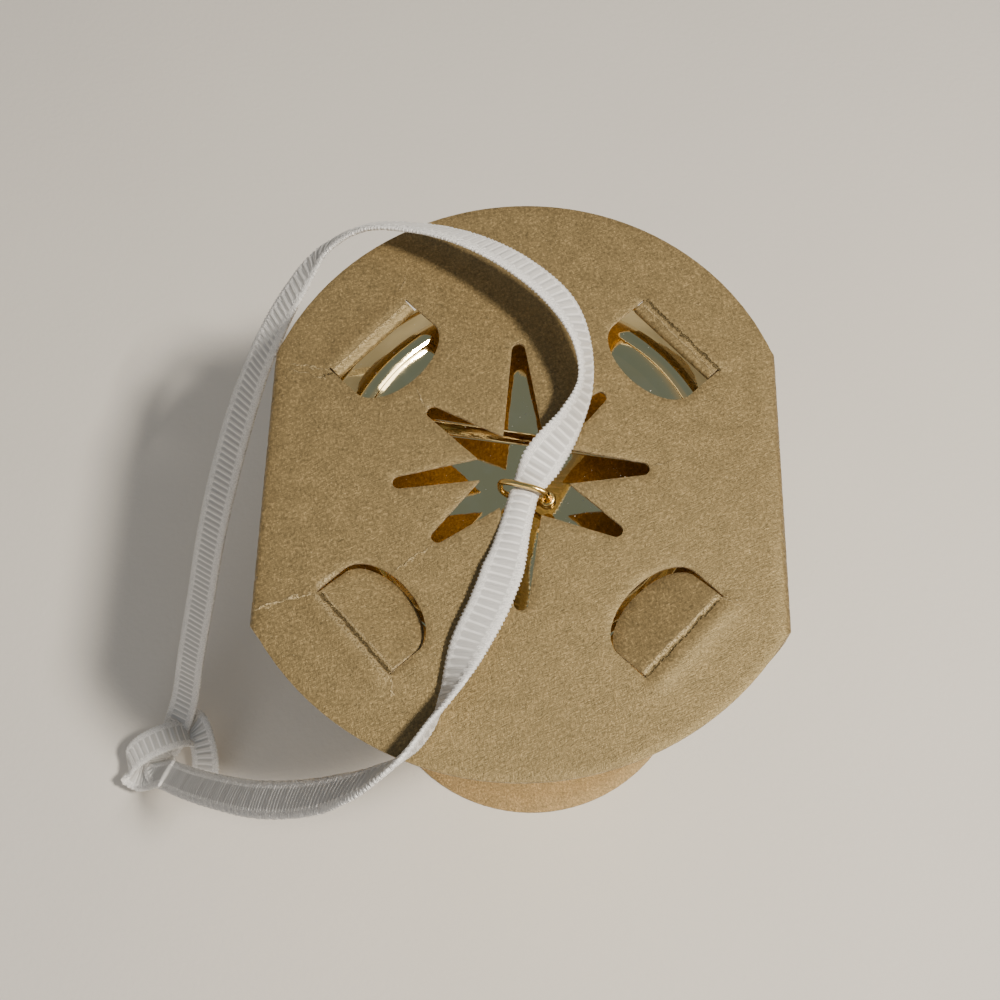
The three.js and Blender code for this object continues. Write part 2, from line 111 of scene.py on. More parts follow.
# The knot's two outer turns: the band's middle in millimetres, and the way its width points
KNOT_FRONT_TURN = [
    ((-61.4, -26.8, 15.6), (0.46, 0.88, 0.00)),
    ((-63.8, -26.3, 11.2), (0.42, 0.90, 0.00)),
    ((-66.6, -26.0, 7.6), (0.28, 0.96, 0.00)),
    ((-69.2, -25.6, 5.4), (0.08, 1.00, 0.00)),
    ((-70.7, -24.7, 5.5), (-0.10, 0.98, 0.00)),
    ((-70.3, -23.2, 7.2), (-0.22, 0.97, 0.00)),
    ((-68.2, -21.5, 8.6), (-0.32, 0.94, 0.00)),
    ((-65.4, -20.0, 9.0), (-0.40, 0.90, 0.00)),
    ((-62.9, -18.8, 8.2), (-0.44, 0.88, 0.00)),
    ((-61.2, -18.1, 6.2), (-0.45, 0.88, 0.00)),
    ((-60.9, -17.9, 3.4), (-0.45, 0.88, 0.00)),
]
KNOT_BACK_TURN = [
    ((-63.4, -16.9, 2.6), (0.55, 0.45, 0.70)),
    ((-61.3, -15.6, 5.2), (0.75, 0.35, 0.55)),
    ((-59.4, -16.9, 6.4), (0.85, 0.30, 0.40)),
    ((-58.2, -19.6, 6.2), (0.90, 0.20, 0.35)),
    ((-57.6, -22.6, 5.2), (0.92, 0.15, 0.30)),
    ((-57.9, -25.2, 3.8), (0.95, 0.00, 0.20)),
    ((-59.4, -26.8, 2.2), (0.90, -0.30, 0.10)),
]


def length_of(name, description, millimetres):
    """A length property whose default is given in millimetres."""
    return FloatProperty(name=name, description=description, default=millimetres * MM, unit="LENGTH")


def angle_of(name, description, degrees):
    """An angle property whose default is given in degrees."""
    return FloatProperty(name=name, description=description, default=math.radians(degrees), subtype="ANGLE")


def colour_of(name, description, colour):
    """A colour property."""
    return FloatVectorProperty(
        name=name, description=description, default=colour, subtype="COLOR", min=0, max=1)


class CardWrapSettings(PropertyGroup):
    """Sizes and colours of the folded card."""

    sheet: length_of("Sheet", "Thickness of the card", 0.5)
    fold_round: length_of("Fold round", "Inside radius of the four folds", 0.4)
    top_fold: length_of("Top fold", "Middle of the top panel to each fold", 33)
    top_fold_half: length_of("Top fold half", "Half the length of a top fold", 17.7)
    top_fold_place: length_of("Top fold place", "Middle of the top folds along Y", -2.4)
    base_fold: length_of("Base fold", "Middle of the base to each fold", 24.2)
    base_radius: length_of("Base radius", "Radius of the round base panel", 28.7)
    side_bulge: length_of("Side bulge", "How far a side's cut edges belly out", 3.2)
    middle: length_of("Middle", "Where the base and the flaps are centred along Y", -1.4)
    warp: length_of("Warp", "How far the top panel waves up and down", 0.16)
    kraft: colour_of("Kraft", "Colour of the card's outer face", (0.170, 0.119, 0.053))
    core: colour_of("Core", "Colour of the cut edges and torn fibres", (0.50, 0.385, 0.215))


class FlapSettings(PropertyGroup):
    """Sizes of the four D-shaped flaps."""

    width: length_of("Width", "Length of a flap's hinge", 14.2)
    straight: length_of("Straight", "Straight sides before the round end", 4.2)
    depth: length_of("Depth", "Hinge to the end of the round", 8.3)
    out: length_of("Out", "Middle of the hinge along X", 19.9)
    along: length_of("Along", "Middle of the hinge along Y", 20.1)
    turn: angle_of("Turn", "Angle of the hinge to the X axis", 47.1)
    kerf: length_of("Kerf", "Width of the cut line", 0.25)
    front_overrun: length_of("Front overrun", "How far the front cuts run on past the hinge", 0.3)
    back_overrun: length_of("Back overrun", "How far the back cuts run on past the hinge", 1.1)
    left_drop: angle_of("Left drop", "How far the front left flap is pushed down", 14)
    right_drop: angle_of("Right drop", "How far the front right flap is pushed down", 16)
    back_fold: angle_of("Back fold", "How far the back flaps are folded under", 150)


class CupSettings(PropertyGroup):
    """Sizes and colours of the cup and its lid."""

    foot_radius: length_of("Foot radius", "Radius of the cup's foot", 19.5)
    foot_ring: length_of("Foot ring", "Width of the ring that the cup stands on", 2.8)
    foot_recess: length_of("Foot recess", "Depth inside the foot ring", 0.8)
    mouth_radius: length_of("Mouth radius", "Radius of the cup under the lip", 27.4)
    crest_radius: length_of("Crest radius", "Middle of the lid's crest", 24.2)
    crest_width: length_of("Crest width", "Width of the lid's crest", 2.3)
    crest_round: length_of("Crest round", "Radius of the crest's two corners", 1.1)
    well_depth: length_of("Well depth", "Crest down to the sunk floor", 3)
    well_slope: length_of("Well slope", "Run of the sunk wall", 2.4)
    well_round: length_of("Well round", "Radius of the corner at the sunk wall's foot", 0.8)
    lid_rise: length_of("Lid rise", "The lip's top up to the crest", 3.4)
    lid_run: length_of("Lid run", "How far the lid's wall slopes in", 3.8)
    lip_radius: length_of("Lip radius", "Radius of the rolled lip", 30.5)
    lip_height: length_of("Lip height", "Height of the rolled lip", 4.4)
    lip_round: length_of("Lip round", "Radius of the lip's corners", 1.1)
    step_rise: length_of("Step rise", "Height of the raised part of the sunk floor", 1.8)
    step_run: length_of("Step run", "Run of the step up to the raised part", 1)
    step_place: length_of("Step place", "The step's foot behind the cup's axis", 4.6)
    step_turn: angle_of("Step turn", "Angle of the step to the X axis", -8.5)
    sides: IntProperty(name="Sides", description="Facets around the cup", default=224, min=16)
    gold: colour_of("Gold", "Colour of the gold lustre", (0.86, 0.68, 0.33))


class EyeSettings(PropertyGroup):
    """Sizes and colours of the wire eye."""

    wire: length_of("Wire", "Thickness of the wire", 0.76)
    place: FloatVectorProperty(
        name="Place", description="Middle of the eye", subtype="XYZ", size=2,
        default=(0.4 * MM, -2.8 * MM))
    turn: angle_of("Turn", "Angle of the eye to the X axis", -14)
    half_span: length_of("Half span", "Half the eye's width", 3.1)
    top: length_of("Top", "The wire's highest point above the card", 1.5)
    leg_spread: length_of("Leg spread", "Half the distance between the legs", 0.43)
    leg_depth: length_of("Leg depth", "How deep the legs go into the lid", 4)
    gold: colour_of("Gold", "Colour of the wire", (0.8, 0.56, 0.2))


class RibbonSettings(PropertyGroup):
    """Sizes and colours of the ribbon."""

    width: length_of("Width", "Width of the ribbon", 5)
    thickness: length_of("Thickness", "Thickness of the ground weave", 0.34)
    waist: length_of("Waist", "Width where the wire gathers it", 3.5)
    waist_behind: length_of("Waist behind", "How far the gathering goes behind the wire", 4)
    waist_ahead: length_of("Waist ahead", "How far the gathering goes in front of the wire", 11)
    pitch: length_of("Rib pitch", "Distance from rib to rib", 1.15)
    rib_height: length_of("Rib height", "Height of a rib over the ground", 0.3)
    border: length_of("Border", "Width of each braided edge", 1.05)
    white: colour_of("White", "Colour of the ribbon", (0.87, 0.85, 0.815))


class StageSettings(PropertyGroup):
    """The floor, lights and camera."""

    lens: FloatProperty(name="Lens", description="Focal length in millimetres", default=47.448)
    floor: colour_of("Floor", "Colour of the floor", (0.84, 0.79, 0.715))
    key_place: FloatVectorProperty(
        name="Key place", description="Where the key light hangs", subtype="XYZ",
        default=(0.196, -0.087, 0.455))
    key_size: FloatProperty(
        name="Key size", description="Side of the square key light", default=0.045, unit="LENGTH")
    key_power: FloatProperty(name="Key power", description="Power of the key light in watts", default=2.85)
    gloss_power: FloatProperty(
        name="Gloss power", description="Power in watts of the large light that only shows in gloss",
        default=2.4)
    fill_power: FloatProperty(
        name="Fill power", description="Power in watts of the low fill light from the front left",
        default=0.55)
    world_power: FloatProperty(
        name="World power", description="Brightness of the surroundings", default=0.64)


class Formula:
    """A number inside a node tree: an expression on it adds its Math nodes."""

    def __init__(self, graph, socket):
        self.graph = graph
        self.socket = socket

    def maths(self, operation, *values):
        return self.graph.maths(operation, self, *values)

    def __add__(self, other):
        return self.maths("ADD", other)

    def __sub__(self, other):
        return self.maths("SUBTRACT", other)

    def __mul__(self, other):
        return self.maths("MULTIPLY", other)

    def __truediv__(self, other):
        return self.maths("DIVIDE", other)

    def __pow__(self, other):
        return self.maths("POWER", other)

    def __rsub__(self, other):
        return self.graph.maths("SUBTRACT", other, self)

    __radd__ = __add__
    __rmul__ = __mul__


class Graph:
    """Adds nodes to a material's or a Geometry Nodes tree."""

    def __init__(self, tree):
        self.tree = tree
        tree.nodes.clear()

    def node(self, kind, settings=None, inputs=None):
        """Adds one node: its settings first, then the values or links of its sockets."""
        made = self.tree.nodes.new(kind)
        for name, value in (settings or {}).items():
            if name == "stops":
                self._stops(made.color_ramp, value)
            else:
                setattr(made, name, value)
        for name, value in (inputs or {}).items():
            socket = made.inputs[name]
            if isinstance(value, Formula):
                self.tree.links.new(value.socket, socket)
            else:
                socket.default_value = value
        return made

    def value(self, kind, settings=None, inputs=None, output=0):
        """Adds one node and gives one of its outputs."""
        return Formula(self, self.node(kind, settings, inputs).outputs[output])

    def maths(self, operation, *values):
        settings = {"operation": operation}
        return self.value("ShaderNodeMath", settings, dict(enumerate(values)))

    def mix(self, share, first, second):
        """Mixes two colours."""
        settings = {"data_type": "RGBA"}
        return self.value("ShaderNodeMix", settings, {0: share, 6: first, 7: second}, output=2)

    def rise(self, value, low, high):
        """Goes smoothly from zero at low to one at high."""
        settings = {"interpolation_type": "SMOOTHSTEP"}
        return self.value("ShaderNodeMapRange", settings, {0: value, 1: low, 2: high})

    def smooth(self, value, low, high):
        """Zero below low and one above high, or the other way round where low is the larger."""
        return self.rise(value, low, high) if low < high else 1 - self.rise(value, high, low)

    def scaled(self, vector, factor):
        """The vector times a number."""
        return self.value("ShaderNodeVectorMath", {"operation": "SCALE"}, {0: vector, "Scale": factor})

    def axes(self, vector):
        """The vector's three parts."""
        parts = self.node("ShaderNodeSeparateXYZ", None, {0: vector})
        return [Formula(self, socket) for socket in parts.outputs]

    def noise(self, vector, scale, detail=2.0, roughness=0.5):
        inputs = {"Vector": vector, "Scale": scale, "Detail": detail, "Roughness": roughness}
        return self.value("ShaderNodeTexNoise", None, inputs)

    def stretched(self, vector, scale, turn=0.0):
        """The vector, turned about Z and scaled along each axis."""
        inputs = {"Vector": vector, "Rotation": (0, 0, turn), "Scale": scale}
        return self.value("ShaderNodeMapping", {"vector_type": "TEXTURE"}, inputs)

    def specks(self, vector, scale, size, share):
        """A mask of round specks in a share of the cells."""
        inputs = {"Vector": vector, "Scale": scale}
        cells = self.node("ShaderNodeTexVoronoi", None, inputs)
        near = Formula(self, cells.outputs["Distance"])
        picked = self.value("ShaderNodeSeparateColor", None, {0: Formula(self, cells.outputs["Color"])})
        return self.smooth(near, size, size * 0.6) * self.maths("LESS_THAN", picked, share)

    def _stops(self, ramp, stops):
        while len(ramp.elements) < len(stops):
            ramp.elements.new(0.5)
        for element, (place, colour) in zip(ramp.elements, stops):
            element.position = place
            element.color = colour


def rgba(colour, gain=1.0):
    """A colour property as four numbers, made lighter or darker by the gain."""
    return tuple(min(part * gain, 1.0) for part in colour) + (1.0,)


def new_material(name):
    """An empty node material and its graph."""
    material = bpy.data.materials.new(name)
    material.use_nodes = True
    return material, Graph(material.node_tree)


def finish_surface(graph, surface, height=None, depth=0.0):
    """Adds the shader, its bump and the output."""
    inputs = dict(surface)
    if height is not None:
        bump = {"Height": height, "Distance": depth, "Strength": 1.0}
        inputs["Normal"] = graph.value("ShaderNodeBump", None, bump)
    shader = graph.value("ShaderNodeBsdfPrincipled", None, inputs)
    graph.node("ShaderNodeOutputMaterial", None, {"Surface": shader})


def flat_place(graph):
    """The sheet's or the band's own flat coordinates, in millimetres."""
    return graph.scaled(graph.value("ShaderNodeUVMap", {"uv_map": "flat"}), 1 / MM)


def object_place(graph):
    """Object coordinates in millimetres."""
    return graph.scaled(graph.value("ShaderNodeTexCoord", output="Object"), 1 / MM)


# The kraft's colour ramp: where each stop lies and how bright it is
KRAFT_STOPS = ((0.39, 0.38), (0.47, 0.78), (0.53, 1.12), (0.61, 2.1))


def crack_mask(graph, place, start, end, width, waver):
    """A thin wandering line on the flat sheet, from one point to another in millimetres."""
    wander = graph.noise(place, 0.9, 3.0)
    fine = graph.noise(place, 4.0, 2.0)
    x, y, _ = graph.axes(place)
    x = x - start[0]
    y = y - start[1]
    reach = math.hypot(end[0] - start[0], end[1] - start[1])
    ahead = ((end[0] - start[0]) / reach, (end[1] - start[1]) / reach)
    along = x * ahead[0] + y * ahead[1]
    aside = y * ahead[0] - x * ahead[1] + (wander - 0.5) * waver
    distance = graph.maths("ABSOLUTE", aside)
    line = graph.smooth(distance, width, width * 0.2)
    ends = graph.smooth(along, -0.3, 0.4) * graph.smooth(along, reach + 0.3, reach - 0.4)
    return line * ends * graph.smooth(fine, 0.36, 0.52)


def kraft_material(card, name, tint, marked=False):
    """Uncoated kraft: crossed fibres, specks and mottling, and where marked its cracks and hinges, with
    painted shade in the hinge grooves and a painted highlight on the front right hinge's ridge.
    """
    material, graph = new_material(name)
    place = flat_place(graph)
    fibre_a = graph.noise(graph.stretched(place, (0.75, 0.16, 1), 0.45), 1.0, 3.0, 0.6)
    fibre_b = graph.noise(graph.stretched(place, (0.18, 0.65, 1), 0.3), 1.0, 3.0, 0.6)
    grain = graph.noise(place, 2.5, 3.0, 0.65)
    cloud = graph.noise(place, 0.42, 3.0, 0.55)
    blotch = graph.noise(place, 0.06, 2.0)
    pulp = fibre_a * 0.25 + fibre_b * 0.25 + grain * 0.37 + cloud * 0.13
    base = [part * shade for part, shade in zip(card.kraft, tint)]
    stops = [(stop, rgba(base, gain)) for stop, gain in KRAFT_STOPS]
    colour = graph.value("ShaderNodeValToRGB", {"stops": stops}, {0: pulp})
    dark = graph.specks(place, 1.1, 0.13, 0.35)
    pale = graph.specks(place, 1.7, 0.14, 0.28)
    colour = graph.mix(dark * 0.55, colour, rgba(card.kraft, 0.3))
    colour = graph.mix(pale * 0.5, colour, rgba(card.core))
    mottle = graph.smooth(blotch, 0.35, 0.7) * 0.16
    colour = graph.mix(mottle, colour, rgba(card.kraft, 0.7))
    height = fibre_a * 0.5 + fibre_b * 0.5 + grain * 0.5
    # Where marked: pale cracks, pale torn fibres with a painted highlight along the front right hinge's
    # ridge, and painted shade darkening the hinge grooves
    kinds = (
        (HINGE_FIBRES_AND_HIGHLIGHT, 0.5, rgba(card.core, 1.1), 0.8),
        (HINGE_GROOVE_SHADE, 0.9, rgba(card.kraft, 0.22), -2.5),
        (CARD_CRACKS, 1.6, rgba(card.core, 1.15), 1.2),
    )
    for marks, waver, paint, lift in kinds if marked else ():
        for start, end, width, strength in marks:
            mask = crack_mask(graph, place, start, end, width, waver)
            colour = graph.mix(mask * strength, colour, paint)
            height = height + mask * lift
    surface = {"Base Color": colour, "Roughness": 0.48, "Specular IOR Level": 1.0,
               "Specular Tint": (1.0, 0.8, 0.42, 1)}
    finish_surface(graph, surface, height, 0.1 * MM)
    return material


def core_material(card):
    """The card's pale cut edge, where short fibres stand out."""
    material, graph = new_material("card_cut_edge")
    place = object_place(graph)
    fibres = graph.noise(place, 4.5, 3.0, 0.65)
    patches = graph.noise(place, 0.8, 2.0)
    share = graph.smooth(fibres * 0.6 + patches * 0.4, 0.38, 0.6)
    colour = graph.mix(share, rgba(card.kraft, 1.1), rgba(card.core, 1.1))
    finish_surface(graph, {"Base Color": colour, "Roughness": 0.9}, fibres, 0.1 * MM)
    return material


def glaze_material(cup):
    """Mirror-bright gold lustre with faint waves, dust and a few pinholes."""
    material, graph = new_material("gold_lustre_glaze")
    place = object_place(graph)
    waves = graph.noise(place, 0.12, 1.0)
    ripple = graph.noise(place, 0.9, 2.0)
    haze = graph.noise(place, 0.35, 3.0, 0.6)
    dust = graph.specks(place, 0.9, 0.09, 0.5)
    lint = graph.specks(place, 2.1, 0.1, 0.22)
    pinholes = graph.specks(place, 0.28, 0.03, 0.4)
    warm = graph.smooth(haze, 0.4, 0.7)
    colour = graph.mix(warm * 0.35, rgba(cup.gold), rgba((0.9, 0.74, 0.42)))
    colour = graph.mix(pinholes, colour, rgba((0.16, 0.09, 0.03)))
    settled = graph.maths("MAXIMUM", dust, lint)
    colour = graph.mix(settled * 0.75, colour, rgba((0.8, 0.8, 0.74)))
    roughness = 0.045 + warm * 0.035 + settled * 0.5
    surface = {"Base Color": colour, "Metallic": 1.0, "Roughness": roughness}
    finish_surface(graph, surface, waves + ripple * 0.03, 0.25 * MM)
    return material


def wire_material(eye):
    """Polished gold-coloured wire with fine drawn lines."""
    material, graph = new_material("polished_gold_wire")
    place = object_place(graph)
    drawn = graph.noise(graph.stretched(place, (0.05, 0.05, 2), 0), 1.0, 2.0)
    tarnish = graph.noise(place, 1.4, 3.0)
    colour = graph.mix(graph.smooth(tarnish, 0.5, 0.75) * 0.5, rgba(eye.gold), rgba(eye.gold, 0.45))
    surface = {"Base Color": colour, "Metallic": 1.0, "Roughness": 0.12 + drawn * 0.12}
    finish_surface(graph, surface, drawn, 0.01 * MM)
    return material


def ribbon_material(ribbon):
    """White polyester grosgrain: filament lines in the ribs, twisted threads in the borders, and a painted
    highlight on the rib bars with painted shade in the gaps between them.
    """
    material, graph = new_material("white_grosgrain_ribbon")
    place = flat_place(graph)
    along, across, _ = graph.axes(place)
    across = graph.maths("ABSOLUTE", across)
    half_pitch = ribbon.pitch / MM / 2
    rib = graph.maths("PINGPONG", along, half_pitch) / half_pitch
    edge_start = ribbon.width / MM / 2 - ribbon.border / MM
    border = graph.smooth(across, edge_start - 0.15, edge_start + 0.1)
    threads = graph.noise(graph.stretched(place, (0.09, 1.6, 1), 0), 1.0, 2.0)
    lines = graph.maths("SINE", along * (2 * math.pi / 0.16) + across * 1.5)
    fuzz = graph.noise(place, 5.0, 2.0)
    slant = graph.maths("SINE", along * (2 * math.pi / 0.21) + across * 9)
    bar = graph.smooth(rib, 0.62, 0.9) * (1 - border)
    # Painted light: the rib bars are painted lighter as a painted highlight, and the gaps between them darker
    # as painted shade
    shade = graph.mix(bar, rgba(ribbon.white, 0.74), rgba(ribbon.white, 1.12))
    edge = graph.mix(graph.smooth(fuzz, 0.35, 0.65), rgba(ribbon.white, 0.86), rgba(ribbon.white, 1.14))
    colour = graph.mix(border, shade, edge)
    colour = graph.mix(graph.smooth(threads, 0.62, 0.78) * 0.3, colour, rgba(ribbon.white, 0.72))
    roughness = 0.62 - bar * 0.2 + border * 0.05
    height = (1 - border) * (lines * 0.5 + threads) + border * (slant * 0.7 + fuzz)
    surface = {"Base Color": colour, "Roughness": roughness, "Sheen Weight": 0.35,
               "Sheen Roughness": 0.4, "Specular IOR Level": 0.45}
    finish_surface(graph, surface, height, 0.03 * MM)
    return material


def floor_material(stage):
    """Plain pale matt paper."""
    material, graph = new_material("pale_floor")
    place = object_place(graph)
    soft = graph.noise(place, 0.02, 3.0)
    tooth = graph.noise(place, 0.8, 2.0)
    colour = graph.mix(soft, rgba(stage.floor, 0.96), rgba(stage.floor, 1.03))
    finish_surface(graph, {"Base Color": colour, "Roughness": 0.85}, tooth, 0.08 * MM)
    return material


def rounded_corners(corners, step=math.radians(12)):
    """Points of an open line whose corners (x, y, radius) are rounded by arcs."""
    points = [Vector(corners[0][:2])]
    for before, corner, after in zip(corners, corners[1:], corners[2:]):
        here = Vector(corner[:2])
        radius = corner[2] if len(corner) > 2 else 0
        if not radius:
            points.append(here)
            continue
        back = (Vector(before[:2]) - here).normalized()
        ahead = (Vector(after[:2]) - here).normalized()
        half = back.angle(ahead) / 2
        centre = here + (back + ahead).normalized() * (radius / math.sin(half))
        start = here + back * (radius / math.tan(half)) - centre
        sweep = start.angle_signed(here + ahead * (radius / math.tan(half)) - centre)
        count = max(2, math.ceil(abs(sweep) / step))
        for k in range(count + 1):
            turned = start.copy()
            turned.rotate(Matrix.Rotation(-sweep * k / count, 2))
            points.append(centre + turned)
    points.append(Vector(corners[-1][:2]))
    return np.array([tuple(p) for p in points])


def centripetal_line(points, spacing):
    """Points along a smooth curve through the given ones, spaced by their first three numbers."""
    points = np.array(points, dtype=float)
    held = np.vstack([2 * points[0] - points[1], points, 2 * points[-1] - points[-2]])
    out = []
    for i in range(len(points) - 1):
        a, b, c, d = held[i:i + 4]
        pairs = ((a, b), (b, c), (c, d))
        knots = np.cumsum([0] + [math.sqrt(np.linalg.norm(q[:3] - p[:3])) for p, q in pairs])
        count = max(1, round(np.linalg.norm(c[:3] - b[:3]) / spacing))
        for k in range(count):
            t = knots[1] + (knots[2] - knots[1]) * k / count
            ab = blend_points(a, b, knots[0], knots[1], t)
            bc = blend_points(b, c, knots[1], knots[2], t)
            cd = blend_points(c, d, knots[2], knots[3], t)
            abc = blend_points(ab, bc, knots[0], knots[2], t)
            bcd = blend_points(bc, cd, knots[1], knots[3], t)
            out.append(blend_points(abc, bcd, knots[1], knots[2], t))
    out.append(points[-1])
    return np.array(out)


def blend_points(first, second, start, end, t):
    """The point at t between one at start and one at end."""
    return first * (end - t) / (end - start) + second * (t - start) / (end - start)


def unit(rows):
    return rows / np.linalg.norm(rows, axis=1, keepdims=True)


def new_mesh_object(name, points, faces, materials, uv=None, indices=None):
    """A smooth mesh object at the origin, with its flat coordinates as a UV map."""
    mesh = bpy.data.meshes.new(name)
    mesh.from_pydata([tuple(p) for p in points], [], [tuple(int(i) for i in f) for f in faces])
    if uv is not None:
        corners = np.empty(len(mesh.loops), dtype=np.int32)
        mesh.loops.foreach_get("vertex_index", corners)
        layer = mesh.uv_layers.new(name="flat")
        layer.data.foreach_set("uv", np.asarray(uv, dtype=np.float32)[corners].ravel())
    for material in materials:
        mesh.materials.append(material)
    if indices is not None:
        mesh.polygons.foreach_set("material_index", np.asarray(indices, dtype=np.int32))
    mesh.shade_smooth()
    mesh.update()
    piece = bpy.data.objects.new(name, mesh)
    bpy.context.scene.collection.objects.link(piece)
    return piece


def final_mesh(piece):
    """The plain mesh that the piece's modifiers make."""
    bpy.context.view_layer.update()
    evaluated = piece.evaluated_get(bpy.context.evaluated_depsgraph_get())
    return bpy.data.meshes.new_from_object(evaluated)


def bake_modifiers(piece):
    """Turns the piece with its modifiers into a plain mesh."""
    mesh = final_mesh(piece)
    piece.modifiers.clear()
    piece.data = mesh
    return piece


def dress(piece, body, slot, *nodes):
    """Parents the piece to its body and hides the nodes that it stands for; the slot is not used."""
    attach(piece, body)
    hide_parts(*nodes)


class FoldedSheet:
    """The flat card, and where each point of it goes when it is folded.

    Flat x is zero in the middle of the top panel and runs on down each side to the middle of the base."""

    def __init__(self, card):
        self.card = card
        half = card.sheet / 2
        self.radius = card.fold_round + half
        lean = math.atan2(card.top_fold - card.base_fold, WRAP_HEIGHT)
        inset = half / math.cos(lean)
        top_x = card.base_fold + (WRAP_HEIGHT - half) * math.tan(lean) - inset
        base_x = card.base_fold + half * math.tan(lean) - inset
        self.top_turn = math.pi / 2 + lean
        trim_top = self.radius * math.tan(self.top_turn / 2)
        trim_base = self.radius * math.tan((math.pi - self.top_turn) / 2)
        side = math.hypot(top_x - base_x, WRAP_HEIGHT - card.sheet) - trim_top - trim_base
        lengths = [
            top_x - trim_top,
            self.radius * self.top_turn,
            side,
            self.radius * (math.pi - self.top_turn),
            base_x - trim_base,
        ]
        self.marks = np.concatenate([[0], np.cumsum(lengths)])

    def place(self, flat_x):
        """X, Z and the outward normal's X and Z of the sheet's middle."""
        reach = np.abs(flat_x)
        x = np.zeros_like(reach)
        z = np.full_like(reach, WRAP_HEIGHT - self.card.sheet / 2)
        turn = np.zeros_like(reach)
        for i, (start, end) in enumerate(zip(self.marks, self.marks[1:])):
            run = np.clip(reach - start, 0, end - start)
            if i % 2:
                after = turn + run / self.radius
                x += self.radius * (np.sin(after) - np.sin(turn))
                z += self.radius * (np.cos(after) - np.cos(turn))
                turn = after
            else:
                x += run * np.cos(turn)
                z -= run * np.sin(turn)
        side = np.sign(flat_x)
        return x * side, z, np.sin(turn) * side, np.cos(turn)

    def edge(self, flat_x, end):
        """Y of the cut edge at the front (end -1) or the back (end 1)."""
        card = self.card
        x, z, _, _ = self.place(flat_x)
        share = np.clip(z / WRAP_HEIGHT, 0, 1)
        base_half = math.sqrt(card.base_radius ** 2 - card.base_fold ** 2)
        side_half = base_half + (card.top_fold_half - base_half) * share
        side_half += card.side_bulge * share * np.sqrt(4 * (1 - share))
        side = card.middle + (card.top_fold_place - card.middle) * share + end * side_half
        fold_end = card.top_fold_place + end * card.top_fold_half
        rise = abs((WRAP_HIGH if end > 0 else WRAP_LOW)[1] - fold_end)
        radius = (card.top_fold ** 2 + rise ** 2) / (2 * rise)
        over = rise - radius + np.sqrt(np.maximum(radius ** 2 - x ** 2, 0))
        top = fold_end + end * np.maximum(over, 0)
        base_run = np.sqrt(np.maximum(card.base_radius ** 2 - x ** 2, 0))
        base = card.middle + end * np.maximum(base_run, base_half)
        is_top = np.abs(flat_x) < self.marks[2]
        is_base = np.abs(flat_x) > self.marks[3]
        return np.where(is_top, top, np.where(is_base, base, side))

    def columns(self):
        """Flat x of the lines that the sheet's mesh follows."""
        counts = (22, 5, 30, 5, 12)
        out = [0.0]
        for start, end, count in zip(self.marks, self.marks[1:], counts):
            out += list(np.linspace(start, end, count + 1)[1:])
        return np.array([-x for x in reversed(out[1:])] + out)


# Star cut-out: each arm's direction in degrees and reach in millimetres, then the valley after it
STAR_MIDDLE_Y = -0.2 * MM
STAR_TIP_ROUND = 0.9 * MM
STAR_ARMS = [
    (92, 18.3, 116, 5.4),
    (144.5, 15.0, 163, 5.9),
    (186, 16.4, 194, 5.4),
    (221, 14.4, 243, 5.6),
    (271, 18.4, 294, 6.5),
    (326.5, 15.2, 344.5, 6.4),
    (361.5, 16.3, 391, 6.3),
    (406, 15.3, 426, 6.4),
]

# Pale cracks in the sheet: from, to, width in millimetres and strength
CARD_CRACKS = [
    ((-32.2, -18.9), (-25.6, -16.7), 0.22, 0.85),
    ((-15.3, -13.6), (-10.8, -10.3), 0.18, 0.6),
    ((-15.2, -26.9), (-14.8, -29.3), 0.16, 0.7),
    ((-14.0, 11.1), (-12.1, 8.6), 0.15, 0.55),
    ((-30.4, 15.1), (-25.7, 13.9), 0.14, 0.5),
    ((-31.0, 14.1), (-25.9, 12.9), 0.12, 0.4),
    ((25.0, -16.3), (27.2, -17.4), 0.12, 0.5),
    ((16.3, 0.5), (19.4, 1.4), 0.12, 0.4),
    ((-16.6, 26.0), (-16.0, 28.4), 0.1, 0.4),
]

# Grooves where the hinges are crushed, painted dark as painted shade: from, to, width in millimetres and
# strength
HINGE_GROOVE_SHADE = [
    ((-24.5, -16.7), (-15.2, -26.7), 0.34, 0.75),
    ((15.4, -26.6), (24.2, -17.1), 0.22, 0.55),
    ((16.3, 24.5), (25.6, 14.2), 0.26, 0.8),
    ((-26.6, 12.9), (-24.8, 13.9), 0.2, 0.6),
]

# Torn pale fibres beside those hinges, and a painted highlight as a pale line along the front right hinge's
# raised ridge
HINGE_FIBRES_AND_HIGHLIGHT = [
    ((-25.1, -16.8), (-15.4, -27.4), 0.6, 0.3),
    ((-24.6, -16.0), (-15.0, -26.0), 0.3, 0.3),
    ((-24.9, -15.9), (-22.7, -14.0), 0.5, 0.6),
    ((-15.2, -26.4), (-12.6, -24.0), 0.3, 0.6),
    ((15.0, -26.1), (24.2, -16.4), 0.3, 0.6),
    ((24.4, -16.6), (27.2, -17.9), 0.12, 0.6),
    ((-25.2, 13.8), (-15.5, 24.3), 0.28, 0.5),
    ((15.6, 24.2), (25.2, 13.7), 0.2, 0.3),
]


